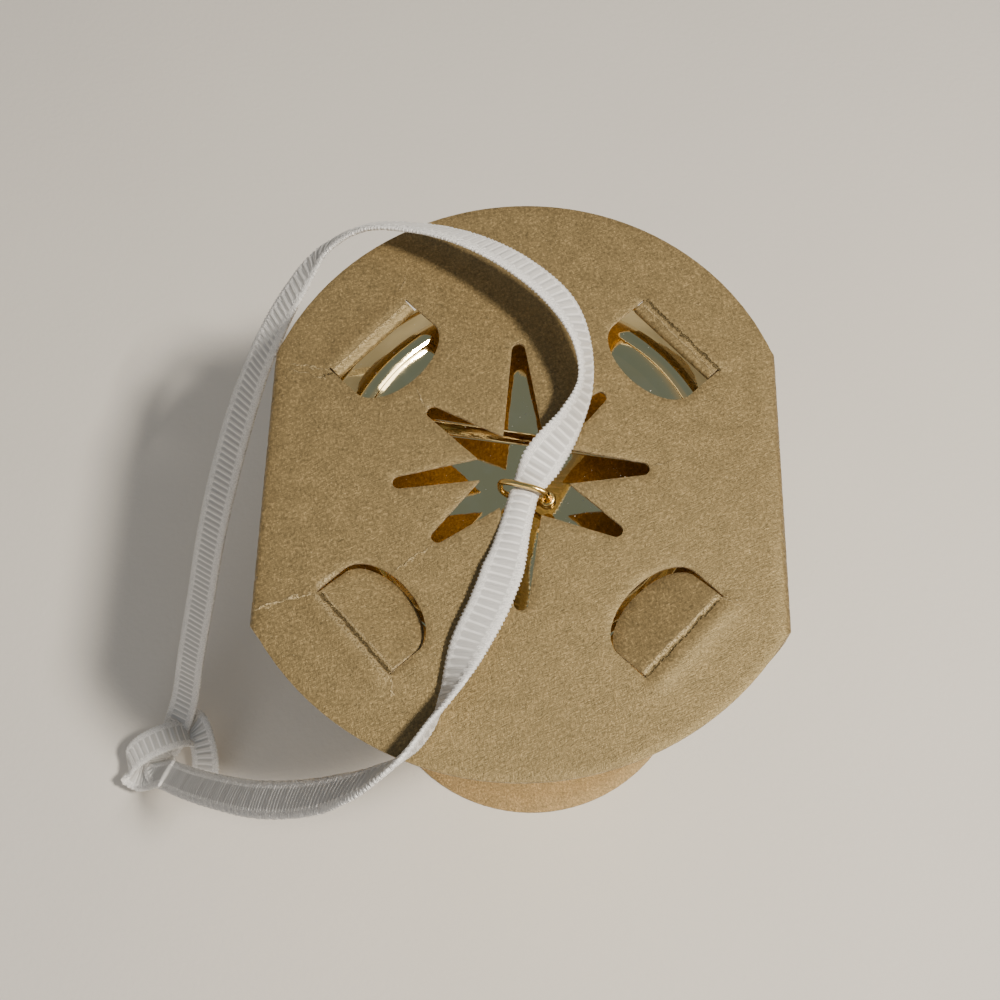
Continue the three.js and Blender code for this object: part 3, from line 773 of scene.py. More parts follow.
def star_outline():
    """The star's outline: a round at each tip, and straight sides from it to the valleys beside it."""
    middle = Vector((0, STAR_MIDDLE_Y))

    def at(turn, reach):
        angle = math.radians(turn)
        return middle + Vector((math.cos(angle), math.sin(angle))) * reach * MM

    points = []
    for i, (turn, reach, valley_turn, valley_reach) in enumerate(STAR_ARMS):
        before = at(*STAR_ARMS[i - 1][2:])
        after = at(valley_turn, valley_reach)
        centre = at(turn, reach - STAR_TIP_ROUND / MM)
        sides = []
        for valley, way in ((before, 1), (after, -1)):
            back = valley - centre
            sides.append(math.atan2(back.y, back.x) + way * math.acos(STAR_TIP_ROUND / back.length))
        sweep = (sides[1] - sides[0]) % (2 * math.pi)
        for share in np.linspace(0, 1, 12):
            angle = sides[0] + sweep * share
            points.append(centre + Vector((math.cos(angle), math.sin(angle))) * STAR_TIP_ROUND)
        points.append(after)
    return np.array([tuple(p) for p in points])


def spaced(points, gap, closed=True, rough=0.0):
    """The outline with points no further apart than the gap, and a little roughness of cut fibres."""
    out = []
    following = np.roll(points, -1, axis=0) if closed else points[1:]
    for start, end in zip(points, following):
        count = max(1, math.ceil(np.linalg.norm(end - start) / gap))
        for k in range(count):
            out.append(start + (end - start) * k / count)
    if not closed:
        out.append(points[-1])
    out = np.array(out)
    if rough:
        shift = [noise.noise_vector(Vector((p[0], p[1], 0)) / (0.35 * MM))[:2] for p in out]
        out = out + np.array(shift) * rough
    return out


def inside(points, outline):
    """Which points lie inside a closed outline."""
    x, y = points[:, 0], points[:, 1]
    result = np.zeros(len(points), dtype=bool)
    for (x0, y0), (x1, y1) in zip(outline, np.roll(outline, -1, axis=0)):
        if y0 == y1:
            continue
        crosses = (y0 > y) != (y1 > y)
        result ^= crosses & (x < x0 + (y - y0) * (x1 - x0) / (y1 - y0))
    return result


FLAP_CURL = 0.35 * MM        # how far the flaps' sides curl up
CREASE_DEPTH = 0.16          # millimetres, as is the swelling beside a crease
CREASE_SWELL = 0.22


class Flap:
    """One D-shaped flap, its hinge and its bend."""

    def __init__(self, card, flap, side, end):
        self.flap = flap
        self.corner = (side, end)
        along = np.array((math.cos(flap.turn), -math.sin(flap.turn) * side * end))
        inward = np.array((-along[1], along[0]))
        if inward[1] * end > 0:
            along, inward = -along, -inward
        self.along = along
        self.inward = inward
        self.middle = np.array((side * flap.out, card.middle + end * flap.along))
        drop = flap.left_drop if side < 0 else flap.right_drop
        self.angle = flap.back_fold if end > 0 else drop
        self.overrun = flap.back_overrun if end > 0 else flap.front_overrun
        self.bend_radius = (0.45 if end > 0 else 1.0) * MM

    def local(self, points):
        away = points - self.middle
        return away @ self.along, away @ self.inward

    def flat(self, local_points):
        local_points = np.asarray(local_points)
        return self.middle + local_points[:, :1] * self.along + local_points[:, 1:] * self.inward

    def arch(self, inset):
        """The sides and the round end, from one hinge end to the other."""
        half = self.flap.width / 2 - inset
        rise = self.flap.depth - self.flap.straight - inset
        angles = np.linspace(0, math.pi, 33)
        round_end = np.column_stack([half * np.cos(angles), self.flap.straight + rise * np.sin(angles)])
        return half, round_end

    def slot(self):
        """The closed outline of the cut line, with its overruns past the hinge."""
        outer, outer_round = self.arch(0)
        inner, inner_round = self.arch(self.flap.kerf)
        past = -self.overrun
        points = [(outer, past)] + list(outer_round) + [(-outer, past), (-inner, past)]
        points += list(inner_round[::-1]) + [(inner, past)]
        return self.flat(points)

    def holds(self, points):
        """Which points belong to the flap, beyond the hinge."""
        a, d = self.local(points)
        half, _ = self.arch(self.flap.kerf)
        rise = self.flap.depth - self.flap.straight - self.flap.kerf
        slack = 0.05 * MM
        over = np.maximum(d - self.flap.straight, 0) / (rise + slack)
        return (d > 1e-9) & (np.abs(a) < half + slack) & ((a / (half + slack)) ** 2 + over ** 2 < 1.0)

    def bend(self, points, height):
        """Where the flap's points go."""
        a, d = self.local(points)
        arc = self.bend_radius * self.angle
        turn = np.minimum(d / self.bend_radius, self.angle)
        past = np.maximum(d - arc, 0)
        run = self.bend_radius * np.sin(turn) + past * math.cos(self.angle)
        drop = self.bend_radius * (1 - np.cos(turn)) + past * math.sin(self.angle)
        aside = np.clip(np.abs(a) / (self.flap.width / 2), 0, 1)
        curl = FLAP_CURL * aside ** 2 * np.clip(d / self.flap.depth, 0, 1)
        flat = self.middle + a[:, None] * self.along + run[:, None] * self.inward
        return np.column_stack([flat, height - drop + curl])

    def crease(self, points):
        """Height of the crushed crease and of the swelling beside it."""
        a, d = self.local(points)
        half = self.flap.width / 2
        ends = np.clip((half + 0.6 * MM - np.abs(a)) / (1.2 * MM), 0, 1)
        groove = np.exp(-(d / (0.4 * MM)) ** 2) * CREASE_DEPTH * MM
        swell = np.exp(-((d + 1.7 * MM) / (1.1 * MM)) ** 2) * CREASE_SWELL * MM
        return ends * (swell - groove)

    def extra_points(self):
        """Rows of points beside the hinge, so that the crease and the bend are round."""
        half, _ = self.arch(self.flap.kerf)
        out = []
        for d in (-3.4, -2.6, -2.0, -1.5, -1.0, -0.6, -0.3):
            out += [(a, d * MM) for a in np.linspace(-half + 0.1 * MM, half - 0.1 * MM, 19)]
        arc = self.bend_radius * self.angle
        for d in list(np.linspace(0, arc, 8)[1:]) + [arc + 0.6 * MM, arc + 1.3 * MM]:
            out += [(a, d) for a in np.linspace(-half + 0.15 * MM, half - 0.15 * MM, 17)]
        return self.flat(out)

    def hinge_points(self):
        half, _ = self.arch(self.flap.kerf)
        return self.flat([(a, 0) for a in np.linspace(-half, half, 23)])


def far_from(others, points, gap):
    """Which points lie further than the gap from all the others."""
    return np.array([np.min(np.hypot(*(others - p).T)) > gap for p in points])


def sheet_mesh(card, flap_settings):
    """Cuts the flat sheet into triangles and folds it: points, faces and flat coordinates."""
    sheet = FoldedSheet(card)
    flaps = [Flap(card, flap_settings, side, end) for side in (-1, 1) for end in (-1, 1)]
    columns = sheet.columns()
    front = sheet.edge(columns, -1)
    back = sheet.edge(columns, 1)
    worn = np.array([noise.noise(Vector((x, 3.0, 0)) / (0.5 * MM)) for x in columns])
    near_fold = np.exp(-((np.abs(columns) - sheet.marks[1]) / (2.2 * MM)) ** 2)
    back = back + worn * near_fold * 0.35 * MM
    front = front + worn[::-1] * near_fold * 0.3 * MM
    border = np.vstack([np.column_stack([columns, back]), np.column_stack([columns, front])[::-1]])
    border = spaced(border, 0.9 * MM)
    star = spaced(star_outline(), 0.45 * MM, rough=0.045 * MM)
    slots = [spaced(f.slot(), 0.45 * MM, rough=0.03 * MM) for f in flaps]
    points = [border, star] + slots
    loops = []
    first = 0
    for outline in points:
        count = len(outline)
        loops += [(first + k, first + (k + 1) % count) for k in range(count)]
        first += count
    outlines = np.vstack(points[1:])
    filling = []
    for x, low, high in zip(columns, front, back):
        gap = 1.35 * MM if abs(x) < sheet.marks[2] else 3 * MM
        count = max(2, round((high - low) / gap))
        filling += [(x, y) for y in np.linspace(low, high, count + 1)[1:-1]]
    filling = np.array(filling)
    extra = np.vstack([f.extra_points() for f in flaps] + [f.hinge_points() for f in flaps])
    clear = far_from(outlines, filling, 0.45 * MM) & far_from(extra, filling, 0.7 * MM)
    extra_clear = far_from(outlines, extra, 0.12 * MM)
    everything = np.vstack([np.vstack(points), filling[clear], extra[extra_clear]])
    vertices, _, faces, _, _, _ = delaunay_2d_cdt([Vector(p) for p in everything / MM], loops, [], 0, 1e-5)
    flat = np.array([tuple(v) for v in vertices]) * MM
    faces = np.array([f for f in faces if len(f) == 3])
    middles = flat[faces].mean(axis=1)
    keep = inside(middles, border) & ~inside(middles, star)
    for slot in slots:
        keep &= ~inside(middles, slot)
    faces = faces[keep]
    a, b, c = flat[faces[:, 0]], flat[faces[:, 1]], flat[faces[:, 2]]
    area = (b - a)[:, 0] * (c - a)[:, 1] - (b - a)[:, 1] * (c - a)[:, 0]
    faces[area < 0] = faces[area < 0][:, ::-1]
    faces = faces[np.abs(area) > 1e-12]
    x, z, _, _ = sheet.place(flat[:, 0])
    is_top = np.abs(flat[:, 0]) < sheet.marks[1]
    fade = np.clip(1 - (np.abs(flat[:, 0]) / sheet.marks[1]) ** 4, 0, 1) * is_top
    wave = [noise.noise(Vector((p[0], p[1], 0.01)) / (26 * MM)) for p in flat]
    z = z + np.array(wave) * fade * card.warp * 2
    placed = np.column_stack([x, flat[:, 1], z])
    for f in flaps:
        held = f.holds(flat) & is_top
        placed[held] = f.bend(flat[held], WRAP_HEIGHT - card.sheet / 2)
        side_a, _ = f.local(flat)
        beside = is_top & (np.abs(side_a) < f.flap.width)
        placed[beside, 2] += f.crease(flat[beside])
    return placed, faces, flat


def make_card_wrap(card, flap_settings):
    points, faces, flat = sheet_mesh(card, flap_settings)
    materials = [
        kraft_material(card, "kraft_card_outside", (1, 1, 1), marked=True),
        core_material(card),
        kraft_material(card, "kraft_card_inside", (1.7, 1.55, 1.5)),
    ]
    piece = new_mesh_object("card", points, faces, materials, uv=flat)
    weld = piece.modifiers.new("seam", "WELD")
    weld.merge_threshold = 0.02 * MM
    wall = piece.modifiers.new("sheet", "SOLIDIFY")
    wall.thickness = card.sheet
    wall.offset = 0
    wall.use_even_offset = False
    wall.material_offset = 2
    wall.material_offset_rim = 1
    worn = piece.modifiers.new("worn_edges", "BEVEL")
    worn.width = 0.08 * MM
    worn.segments = 2
    worn.limit_method = "ANGLE"
    worn.angle_limit = math.radians(55)
    worn.material = 1
    bake_modifiers(piece)
    piece.data.set_sharp_from_angle(angle=math.radians(50))
    dress(piece, "root", "kraft_card", "card_wrap")
    return piece


CREST_PEAK = 0.14 * MM       # the crest's corner, which its rounding brings down again
SHOULDER_DROP = 0.5 * MM     # from the crest down to its two shoulders
SHOULDER_SPREAD = 0.1 * MM
LEG_CLEARANCE = 0.3 * MM     # around and below the wire's legs
GRID = np.arange(-20, 20.1, 1.25)


def cup_profile(cup):
    """Half the section of the cup and lid down to the wall of the well, from below."""
    foot = CUP_LOW[2]
    lip_top = CREST_HEIGHT - cup.lid_rise
    lip_low = lip_top - cup.lip_height
    foot_inner = cup.foot_radius - cup.foot_ring
    crest_inner = cup.crest_radius - cup.crest_width / 2
    crest_outer = cup.crest_radius + cup.crest_width / 2
    floor = CREST_HEIGHT - cup.well_depth
    return rounded_corners([
        (0, foot + cup.foot_recess),
        (foot_inner, foot + cup.foot_recess, cup.foot_recess / 2),
        (foot_inner + cup.foot_recess, foot, cup.foot_recess / 2),
        (cup.foot_radius, foot, cup.foot_recess),
        (cup.mouth_radius, lip_low, cup.foot_recess / 2),
        (cup.lip_radius, lip_low, cup.lip_round),
        (cup.lip_radius, lip_top, cup.lip_round),
        (crest_outer + cup.lid_run, lip_top, cup.lip_round / 2),
        (crest_outer + SHOULDER_SPREAD, CREST_HEIGHT - SHOULDER_DROP, cup.crest_round),
        (cup.crest_radius, CREST_HEIGHT + CREST_PEAK, cup.crest_round * 1.6),
        (crest_inner - SHOULDER_SPREAD, CREST_HEIGHT - SHOULDER_DROP, cup.crest_round * 0.8),
        (crest_inner - cup.well_slope, floor, cup.well_round),
        (0, floor),
    ], math.radians(4))


def step_line(cup):
    """The sunk floor and its step, seen from the side: place behind the axis and height."""
    floor = CREST_HEIGHT - cup.well_depth
    reach = cup.lip_radius
    return rounded_corners([
        (-reach, floor),
        (cup.step_place, floor, 0.45 * MM),
        (cup.step_place + cup.step_run, floor + cup.step_rise, 0.4 * MM),
        (reach, floor + cup.step_rise),
    ], math.radians(6))


def ring(radius, sides):
    angles = np.arange(sides) * 2 * math.pi / sides
    return np.column_stack([np.cos(angles), np.sin(angles)]) * radius


def fill_floor(rim, hole, hole_middle, spin, step):
    """Fills the sunk floor between its rim and the wire's hole: flat points and triangles."""
    rim_radius = rim[0][0]
    hole_radius = np.linalg.norm(hole[0] - hole_middle)
    filling = []
    for y in sorted(set(np.round(step[:, 0] / MM, 4)) | set(GRID)):
        for x in GRID:
            flat = (spin[0] * x + spin[1] * y) * MM
            away = np.linalg.norm(flat - hole_middle)
            if np.linalg.norm(flat) < rim_radius - 0.35 * MM and away > hole_radius + 0.25 * MM:
                filling.append(flat)
    flat = np.vstack([rim, hole, np.array(filling)])
    edges = [(k, (k + 1) % len(rim)) for k in range(len(rim))]
    edges += [(len(rim) + k, len(rim) + (k + 1) % len(hole)) for k in range(len(hole))]
    placed, _, triangles, _, _, _ = delaunay_2d_cdt([Vector(p) for p in flat / MM], edges, [], 0, 1e-6)
    placed = np.array([tuple(p) for p in placed]) * MM
    triangles = np.array([t for t in triangles if len(t) == 3])
    middles = placed[triangles].mean(axis=1)
    return placed, triangles[np.linalg.norm(middles - hole_middle, axis=1) > hole_radius * 0.995]


def make_cup(cup, eye):
    profile = cup_profile(cup)[1:-1]
    sides = cup.sides
    floor = CREST_HEIGHT - cup.well_depth
    step = step_line(cup)
    spin = np.array([
        (math.cos(cup.step_turn), math.sin(cup.step_turn)),
        (-math.sin(cup.step_turn), math.cos(cup.step_turn)),
    ])
    back = spin[1]
    well_top = cup.crest_radius - cup.crest_width / 2
    points = [(0.0, 0.0, profile[0][1])]
    for radius, height in profile:
        around = ring(radius, sides)
        heights = np.full(sides, height)
        if radius < well_top and height > CREST_HEIGHT - cup.well_depth * 1.01:
            heights = np.maximum(heights, np.interp(around @ back, step[:, 0], step[:, 1]))
        points += [(x, y, z) for (x, y), z in zip(around, heights)]
    faces = [(0, 1 + (k + 1) % sides, 1 + k) for k in range(sides)]
    for row in range(len(profile) - 1):
        low = 1 + row * sides
        for k in range(sides):
            after = (k + 1) % sides
            faces.append((low + k, low + after, low + sides + after, low + sides + k))
    hole_middle = np.array(eye.place) - np.array(CUP_AXIS)
    hole_radius = eye.leg_spread + eye.wire / 2 + LEG_CLEARANCE
    hole = hole_middle + ring(hole_radius, 28)
    placed, triangles = fill_floor(ring(profile[-1][0], sides), hole, hole_middle, spin, step)
    floor_points = np.column_stack([placed, np.interp(placed @ back, step[:, 0], step[:, 1])])
    first = len(points)
    points += [tuple(p) for p in floor_points]
    for a, b, c in triangles:
        turn = np.cross(placed[b] - placed[a], placed[c] - placed[a])
        faces.append((first + a, first + b, first + c) if turn > 0 else (first + a, first + c, first + b))
    hole_low = floor - eye.leg_depth - LEG_CLEARANCE
    low_first = len(points)
    points += [(x, y, hole_low) for x, y in hole] + [(*hole_middle, hole_low)]
    top_first = low_first + len(hole) + 1
    points += [(x, y, floor) for x, y in hole]
    count = len(hole)
    for k in range(count):
        after = (k + 1) % count
        faces.append((top_first + after, top_first + k, low_first + k, low_first + after))
        faces.append((low_first + k, low_first + count, low_first + after)[::-1])
    points = np.array(points) + np.array((*CUP_AXIS, 0))
    piece = new_mesh_object("cup_and_lid", points, faces, [glaze_material(cup)])
    weld = piece.modifiers.new("join", "WELD")
    weld.merge_threshold = 0.004 * MM
    bake_modifiers(piece)
    piece.data.set_sharp_from_angle(angle=math.radians(50))
    dress(piece, "root", "gold_glaze", "cup_ornament")
    return piece


def new_geometry_tree(name, inputs):
    """A Geometry Nodes tree with named inputs, its graph, and its inputs as formulas."""
    tree = bpy.data.node_groups.new(name, "GeometryNodeTree")
    graph = Graph(tree)
    tree.interface.new_socket(name="Geometry", in_out="INPUT", socket_type="NodeSocketGeometry")
    tree.interface.new_socket(name="Geometry", in_out="OUTPUT", socket_type="NodeSocketGeometry")
    for label, kind, default in inputs:
        tree.interface.new_socket(name=label, in_out="INPUT", socket_type=kind).default_value = default
    entry = graph.node("NodeGroupInput")
    return tree, graph, {socket.name: Formula(graph, socket) for socket in entry.outputs if socket.name}


def close_tree(graph, geometry, material):
    """Ends the tree in real, smooth geometry with its material."""
    solid = graph.value("GeometryNodeRealizeInstances", None, {0: geometry})
    smooth = graph.value("GeometryNodeSetShadeSmooth", None, {0: solid})
    painted = graph.value("GeometryNodeSetMaterial", None, {0: smooth, "Material": material})
    graph.node("NodeGroupOutput", None, {0: painted})


def wire_tree(material):
    """Sweeps a round wire along every curve."""
    tree, graph, given = new_geometry_tree("wire_sweep", [
        ("Radius", "NodeSocketFloat", 0.38 * MM),
        ("Sides", "NodeSocketInt", 16),
    ])
    section = {"Radius": given["Radius"], "Resolution": given["Sides"]}
    circle = graph.value("GeometryNodeCurvePrimitiveCircle", None, section)
    sweep = {"Curve": given["Geometry"], "Profile Curve": circle, "Fill Caps": True}
    close_tree(graph, graph.value("GeometryNodeCurveToMesh", None, sweep), material)
    return tree


def weave_tree(ribbon, material):
    """Raises ribs across the middle of a band and braids along its two borders."""
    tree, graph, given = new_geometry_tree("grosgrain_weave", [
        ("Pitch", "NodeSocketFloat", ribbon.pitch),
        ("Rib Height", "NodeSocketFloat", ribbon.rib_height),
        ("Half Width", "NodeSocketFloat", ribbon.width / 2),
        ("Border", "NodeSocketFloat", ribbon.border),
    ])
    named = {"data_type": "FLOAT"}
    along = graph.value("GeometryNodeInputNamedAttribute", named, {"Name": "along"})
    across = graph.value("GeometryNodeInputNamedAttribute", named, {"Name": "across"})
    out = graph.maths("ABSOLUTE", across)
    edge = given["Half Width"] - given["Border"]
    border = graph.rise(out, edge - 0.12 * MM, edge + 0.12 * MM)
    phase = along / given["Pitch"] * (2 * math.pi)
    rib = (graph.maths("COSINE", phase) * 0.5 + 0.5) ** 2.6
    step_in = (out - edge) / given["Border"]
    strand = graph.maths("COSINE", phase * 2 + step_in * 5.2)
    other = graph.maths("COSINE", phase * 2 - step_in * 5.2 + 1.6)
    braid = graph.maths("MAXIMUM", strand, other) * 0.5 + 0.35
    outer = graph.rise(step_in, 0.8, 1.0)
    height = rib * (1 - border) + braid * border * (1 - outer * 0.6)
    shift = graph.scaled(graph.value("GeometryNodeInputNormal"), height * given["Rib Height"])
    moved = graph.value("GeometryNodeSetPosition", None, {"Geometry": given["Geometry"], "Offset": shift})
    close_tree(graph, moved, material)
    return tree


def add_tree(piece, tree, values):
    """Puts the tree on the piece as a modifier, with these values for its inputs."""
    modifier = piece.modifiers.new(tree.name, "NODES")
    modifier.node_group = tree
    sockets = {item.name: item.identifier for item in tree.interface.items_tree if item.in_out == "INPUT"}
    for name, value in values.items():
        modifier[sockets[name]] = value


def band_mesh(centres, across, widths, ribbon, columns=14):
    """A closed flat band: points, faces, and each point's place along and across it."""
    ahead = unit(np.gradient(centres, axis=0))
    across = unit(across - ahead * np.sum(across * ahead, axis=1, keepdims=True))
    face = np.cross(across, ahead)
    along = np.concatenate([[0], np.cumsum(np.linalg.norm(np.diff(centres, axis=0), axis=1))])
    shares = np.linspace(-1, 1, columns + 1)
    loop = [(s, 1) for s in shares] + [(s, -1) for s in shares[::-1]]
    gathered = 1 - widths / ribbon.width
    scallop = 1 + 0.05 * np.cos(along / ribbon.pitch * 4 * math.pi)
    points = []
    for share, way in loop:
        thick = ribbon.thickness / 2 * (1 - 0.45 * abs(share) ** 6)
        cup = -(share ** 2) * (0.12 * MM + gathered * 2.2 * MM)
        reach = widths / 2 * share * (scallop if abs(share) > 0.8 else 1)
        points.append(centres + across * reach[:, None] + face * (way * thick + cup)[:, None])
    points = np.stack(points, axis=1)
    count = len(loop)
    rows = len(centres)
    faces = []
    for start in range(0, (rows - 1) * count, count):
        for k in range(count):
            here = start + k
            after = start + (k + 1) % count
            faces.append((here, after, after + count, here + count))
    faces.append(tuple(range(count))[::-1])
    faces.append(tuple((rows - 1) * count + k for k in range(count)))
    places = np.array([(a, share * ribbon.width / 2) for a in along for share, _ in loop])
    return points.reshape(-1, 3), faces, places


def new_band(name, bands, ribbon, material):
    """One woven piece made of one or more bands."""
    points = []
    faces = []
    places = []
    for band_points, band_faces, band_places in bands:
        first = sum(len(p) for p in points)
        faces += [tuple(first + i for i in f) for f in band_faces]
        points.append(band_points)
        places.append(band_places)
    places = np.vstack(places)
    piece = new_mesh_object(name, np.vstack(points), faces, [material], uv=places)
    for label, column in (("along", 0), ("across", 1)):
        attribute = piece.data.attributes.new(label, "FLOAT", "POINT")
        attribute.data.foreach_set("value", np.ascontiguousarray(places[:, column], dtype=np.float32))
    values = {
        "Pitch": ribbon.pitch,
        "Rib Height": ribbon.rib_height,
        "Half Width": ribbon.width / 2,
        "Border": ribbon.border,
    }
    add_tree(piece, weave_tree(ribbon, material), values)
    return bake_modifiers(piece)


def ribbon_line(spacing):
    """The loop's middle and its lean, from the eye round through the knot and back to the eye."""
    loop = RIBBON_ROUTE[EYE_POINT:] + RIBBON_ROUTE[:EYE_POINT + 1]
    route = [(x * MM, y * MM, z * MM, lean) for x, y, z, lean in loop]
    line = centripetal_line(route, spacing)
    return line[:, :3], np.radians(line[:, 3])


def make_ribbon(ribbon, eye):
    centres, leans = ribbon_line(BAND_SPACING)
    ahead = unit(np.gradient(centres, axis=0))
    level = unit(np.column_stack([ahead[:, 1], -ahead[:, 0], np.zeros(len(ahead))]))
    rising = np.cross(level, ahead)
    across = level * np.cos(leans)[:, None] + rising * np.sin(leans)[:, None]
    away = np.linalg.norm(centres - centres[0], axis=1)
    is_ahead = centres[:, 1] < centres[0, 1]
    away = np.clip(away / np.where(is_ahead, ribbon.waist_ahead, ribbon.waist_behind), 0, 1)
    eased = np.where(is_ahead, away ** 2.2, away)
    widths = ribbon.waist + (ribbon.width - ribbon.waist) * eased
    material = ribbon_material(ribbon)
    band = band_mesh(centres, across, widths, ribbon)
    loop = new_band("ribbon", [band], ribbon, material)
    dress(loop, "root", "white_grosgrain", "ribbon_loop")
    turns = []
    for turn in (KNOT_FRONT_TURN, KNOT_BACK_TURN):
        rows = [(*(np.array(place) * MM), *way) for place, way in turn]
        line = centripetal_line(rows, BAND_SPACING)
        turn_widths = np.full(len(line), ribbon.width)
        turns.append(band_mesh(line[:, :3], line[:, 3:], turn_widths, ribbon))
    knot = new_band("knot", turns, ribbon, material)
    dress(knot, "root", "white_grosgrain", "ribbon_knot")
    path, _ = ribbon_line(PATH_SPACING)
    return loop


def make_hanging_eye(eye):
    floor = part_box("hanging_eye")[0][2] + eye.leg_depth
    top = WRAP_HEIGHT + eye.top
    span = eye.half_span
    half = [
        (eye.leg_spread, floor - eye.leg_depth),
        (eye.leg_spread, floor - eye.leg_depth / 2),
        (eye.leg_spread, floor + 0.6 * MM),
        (span * 0.5, floor + 2 * MM),
        (span * 0.93, floor + 3.5 * MM),
        (span, floor + 5 * MM),
        (span * 0.9, top - 0.7 * MM),
        (span * 0.5, top - 0.1 * MM),
    ]
    outline = [(-x, 0, z) for x, z in half] + [(0, 0, top)] + [(x, 0, z) for x, z in half[::-1]]
    line = centripetal_line(outline, WIRE_SPACING)
    coil_radius = eye.wire * 0.92
    angles = np.linspace(0, COIL_TURNS * 2 * math.pi, 70)
    climb = angles / (2 * math.pi) * eye.wire * 0.98
    coil_x = span * 0.99 + coil_radius * np.cos(angles)
    coil = np.column_stack([coil_x, coil_radius * np.sin(angles), floor + 3.1 * MM + climb])
    curve = bpy.data.curves.new("wire_lines", "CURVE")
    curve.dimensions = "3D"
    spin = Matrix.Rotation(eye.turn, 3, "Z")
    for points in (line, coil):
        spline = curve.splines.new("POLY")
        spline.points.add(len(points) - 1)
        for slot, point in zip(spline.points, points):
            placed = spin @ Vector(point) + Vector((*eye.place, 0))
            slot.co = (*placed, 1)
    source = bpy.data.objects.new("wire_lines", curve)
    bpy.context.scene.collection.objects.link(source)
    material = wire_material(eye)
    add_tree(source, wire_tree(material), {"Radius": eye.wire / 2})
    mesh = final_mesh(source)
    bpy.data.objects.remove(source)
    piece = bpy.data.objects.new("wire_eye", mesh)
    bpy.context.scene.collection.objects.link(piece)
    dress(piece, "root", "gold_wire", "hanging_eye")
    return piece


CAMERA_PLACE = Vector((4.47, -65.85, 238.54)) * MM
CAMERA_RIGHT = Vector((0.99907, 0.02272, -0.0366))
CAMERA_UP = Vector((-0.00744, 0.92788, 0.37281))

# The surroundings' colours, from straight down to straight up
SKY_STOPS = [
    (0.0, (0.70, 0.60, 0.49, 1)),
    (0.35, (0.56, 0.50, 0.42, 1)),
    (0.72, (0.42, 0.40, 0.37, 1)),
    (0.86, (0.26, 0.33, 0.41, 1)),
    (1.0, (0.23, 0.31, 0.40, 1)),
]


def make_camera(stage):
    """The camera at the photograph's viewing angle."""
    camera = bpy.data.cameras.new("camera")
    camera.lens = stage.lens
    camera.sensor_width = 36
    camera.clip_start = 0.01
    camera.dof.use_dof = False
    holder = bpy.data.objects.new("camera", camera)
    bpy.context.scene.collection.objects.link(holder)
    turn = Matrix((CAMERA_RIGHT, CAMERA_UP, CAMERA_RIGHT.cross(CAMERA_UP))).transposed().to_4x4()
    holder.matrix_world = Matrix.Translation(CAMERA_PLACE) @ turn
    bpy.context.scene.camera = holder


def add_area_light(name, direction, distance, size, power, colour, target):
    """A square soft light that looks at the target."""
    light = bpy.data.lights.new(name, "AREA")
    light.shape = "SQUARE"
    light.size = size
    light.energy = power
    light.color = colour
    holder = bpy.data.objects.new(name, light)
    bpy.context.scene.collection.objects.link(holder)
    way = Vector(direction).normalized()
    holder.location = Vector(target) + way * distance
    holder.rotation_euler = way.to_track_quat("Z", "Y").to_euler()
    return holder


def make_stage(stage):
    """A plain pale floor, a warm key light over the front right corner and soft surroundings."""
    middle = Vector((0, 0, WRAP_HEIGHT / 2))
    lamp = Vector(stage.key_place) - middle
    add_area_light("key_light", lamp, lamp.length, stage.key_size, stage.key_power, (1.0, 0.93, 0.82), middle)
    gloss = add_area_light(
        "gloss_light", (0.62, -0.3, 0.72), 0.62, 0.34, stage.gloss_power, (1.0, 0.95, 0.86), middle)
    gloss.visible_diffuse = False
    add_area_light("fill_light", (-0.42, -0.86, 0.28), 0.6, 0.3, stage.fill_power, (1.0, 0.95, 0.9), middle)
    world = bpy.data.worlds.new("surroundings")
    world.use_nodes = True
    graph = Graph(world.node_tree)
    steepness = graph.axes(graph.value("ShaderNodeTexCoord", output="Generated"))[2]
    sky = graph.value("ShaderNodeValToRGB", {"stops": SKY_STOPS}, {0: steepness})
    light = graph.value("ShaderNodeBackground", None, {"Color": sky, "Strength": stage.world_power})
    graph.node("ShaderNodeOutputWorld", None, {"Surface": light})
    bpy.context.scene.world = world
    size = 1.5
    corners = [(-size, -size, 0), (size, -size, 0), (size, size, 0), (-size, size, 0)]
    floor = new_mesh_object("floor", corners, [(0, 1, 2, 3)], [floor_material(stage)])


class ORNAMENT_OT_camera(Operator):
    """Add the camera at the photograph's viewing angle"""

    bl_idname = "ornament.camera"
    bl_label = "Camera"

    def execute(self, context):
        make_camera(context.scene.ornament_stage)
        return {"FINISHED"}


class ORNAMENT_OT_ribbon(Operator):
    """Weave the ribbon loop and its knot"""

    bl_idname = "ornament.ribbon"
    bl_label = "Ribbon and knot"

    def execute(self, context):
        make_ribbon(context.scene.ornament_ribbon, context.scene.ornament_eye)
        return {"FINISHED"}


class ORNAMENT_OT_card_wrap(Operator):
    """Cut, fold and finish the card wrap"""

    bl_idname = "ornament.card_wrap"
    bl_label = "Card wrap"

    def execute(self, context):
        make_card_wrap(context.scene.ornament_card, context.scene.ornament_flaps)
        return {"FINISHED"}


class ORNAMENT_OT_cup(Operator):
    """Turn and glaze the cup and its lid"""

    bl_idname = "ornament.cup"
    bl_label = "Cup and lid"

    def execute(self, context):
        make_cup(context.scene.ornament_cup, context.scene.ornament_eye)
        return {"FINISHED"}


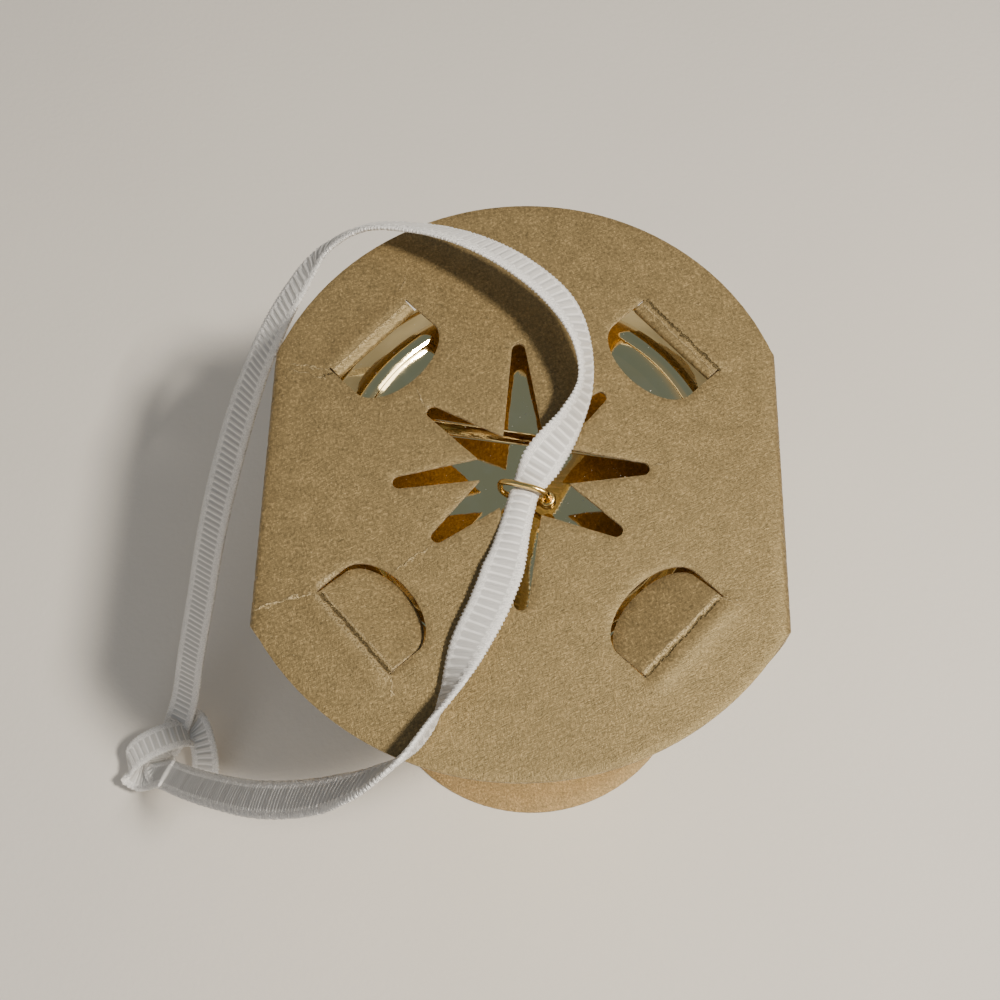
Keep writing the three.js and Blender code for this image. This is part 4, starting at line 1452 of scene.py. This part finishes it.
class ORNAMENT_OT_wire_eye(Operator):
    """Bend the wire eye"""

    bl_idname = "ornament.wire_eye"
    bl_label = "Wire eye"

    def execute(self, context):
        make_hanging_eye(context.scene.ornament_eye)
        return {"FINISHED"}


class ORNAMENT_OT_stage(Operator):
    """Add the floor, the lights and the surroundings"""

    bl_idname = "ornament.stage"
    bl_label = "Stage"

    def execute(self, context):
        make_stage(context.scene.ornament_stage)
        return {"FINISHED"}


class ORNAMENT_PT_panel(Panel):
    """Lists the ornament's pieces"""

    bl_label = "Cup ornament"
    bl_idname = "ORNAMENT_PT_panel"
    bl_space_type = "VIEW_3D"
    bl_region_type = "UI"
    bl_category = "Ornament"

    def draw(self, context):
        for operator in OPERATORS:
            self.layout.operator(operator.bl_idname)


SETTINGS = {
    "ornament_card": CardWrapSettings,
    "ornament_flaps": FlapSettings,
    "ornament_cup": CupSettings,
    "ornament_eye": EyeSettings,
    "ornament_ribbon": RibbonSettings,
    "ornament_stage": StageSettings,
}
OPERATORS = (
    ORNAMENT_OT_camera,
    ORNAMENT_OT_ribbon,
    ORNAMENT_OT_card_wrap,
    ORNAMENT_OT_cup,
    ORNAMENT_OT_wire_eye,
    ORNAMENT_OT_stage,
)


def register():
    for settings in SETTINGS.values():
        bpy.utils.register_class(settings)
    for operator in OPERATORS:
        bpy.utils.register_class(operator)
    bpy.utils.register_class(ORNAMENT_PT_panel)
    for name, settings in SETTINGS.items():
        setattr(bpy.types.Scene, name, PointerProperty(type=settings))


def unregister():
    for name in SETTINGS:
        delattr(bpy.types.Scene, name)
    bpy.utils.unregister_class(ORNAMENT_PT_panel)
    for operator in reversed(OPERATORS):
        bpy.utils.unregister_class(operator)
    for settings in reversed(SETTINGS.values()):
        bpy.utils.unregister_class(settings)


def main():
    register()
    bpy.ops.ornament.camera()
    bpy.ops.ornament.ribbon()
    bpy.ops.ornament.card_wrap()
    bpy.ops.ornament.cup()
    bpy.ops.ornament.wire_eye()
    bpy.ops.ornament.stage()


if __name__ == "__main__":
    main()
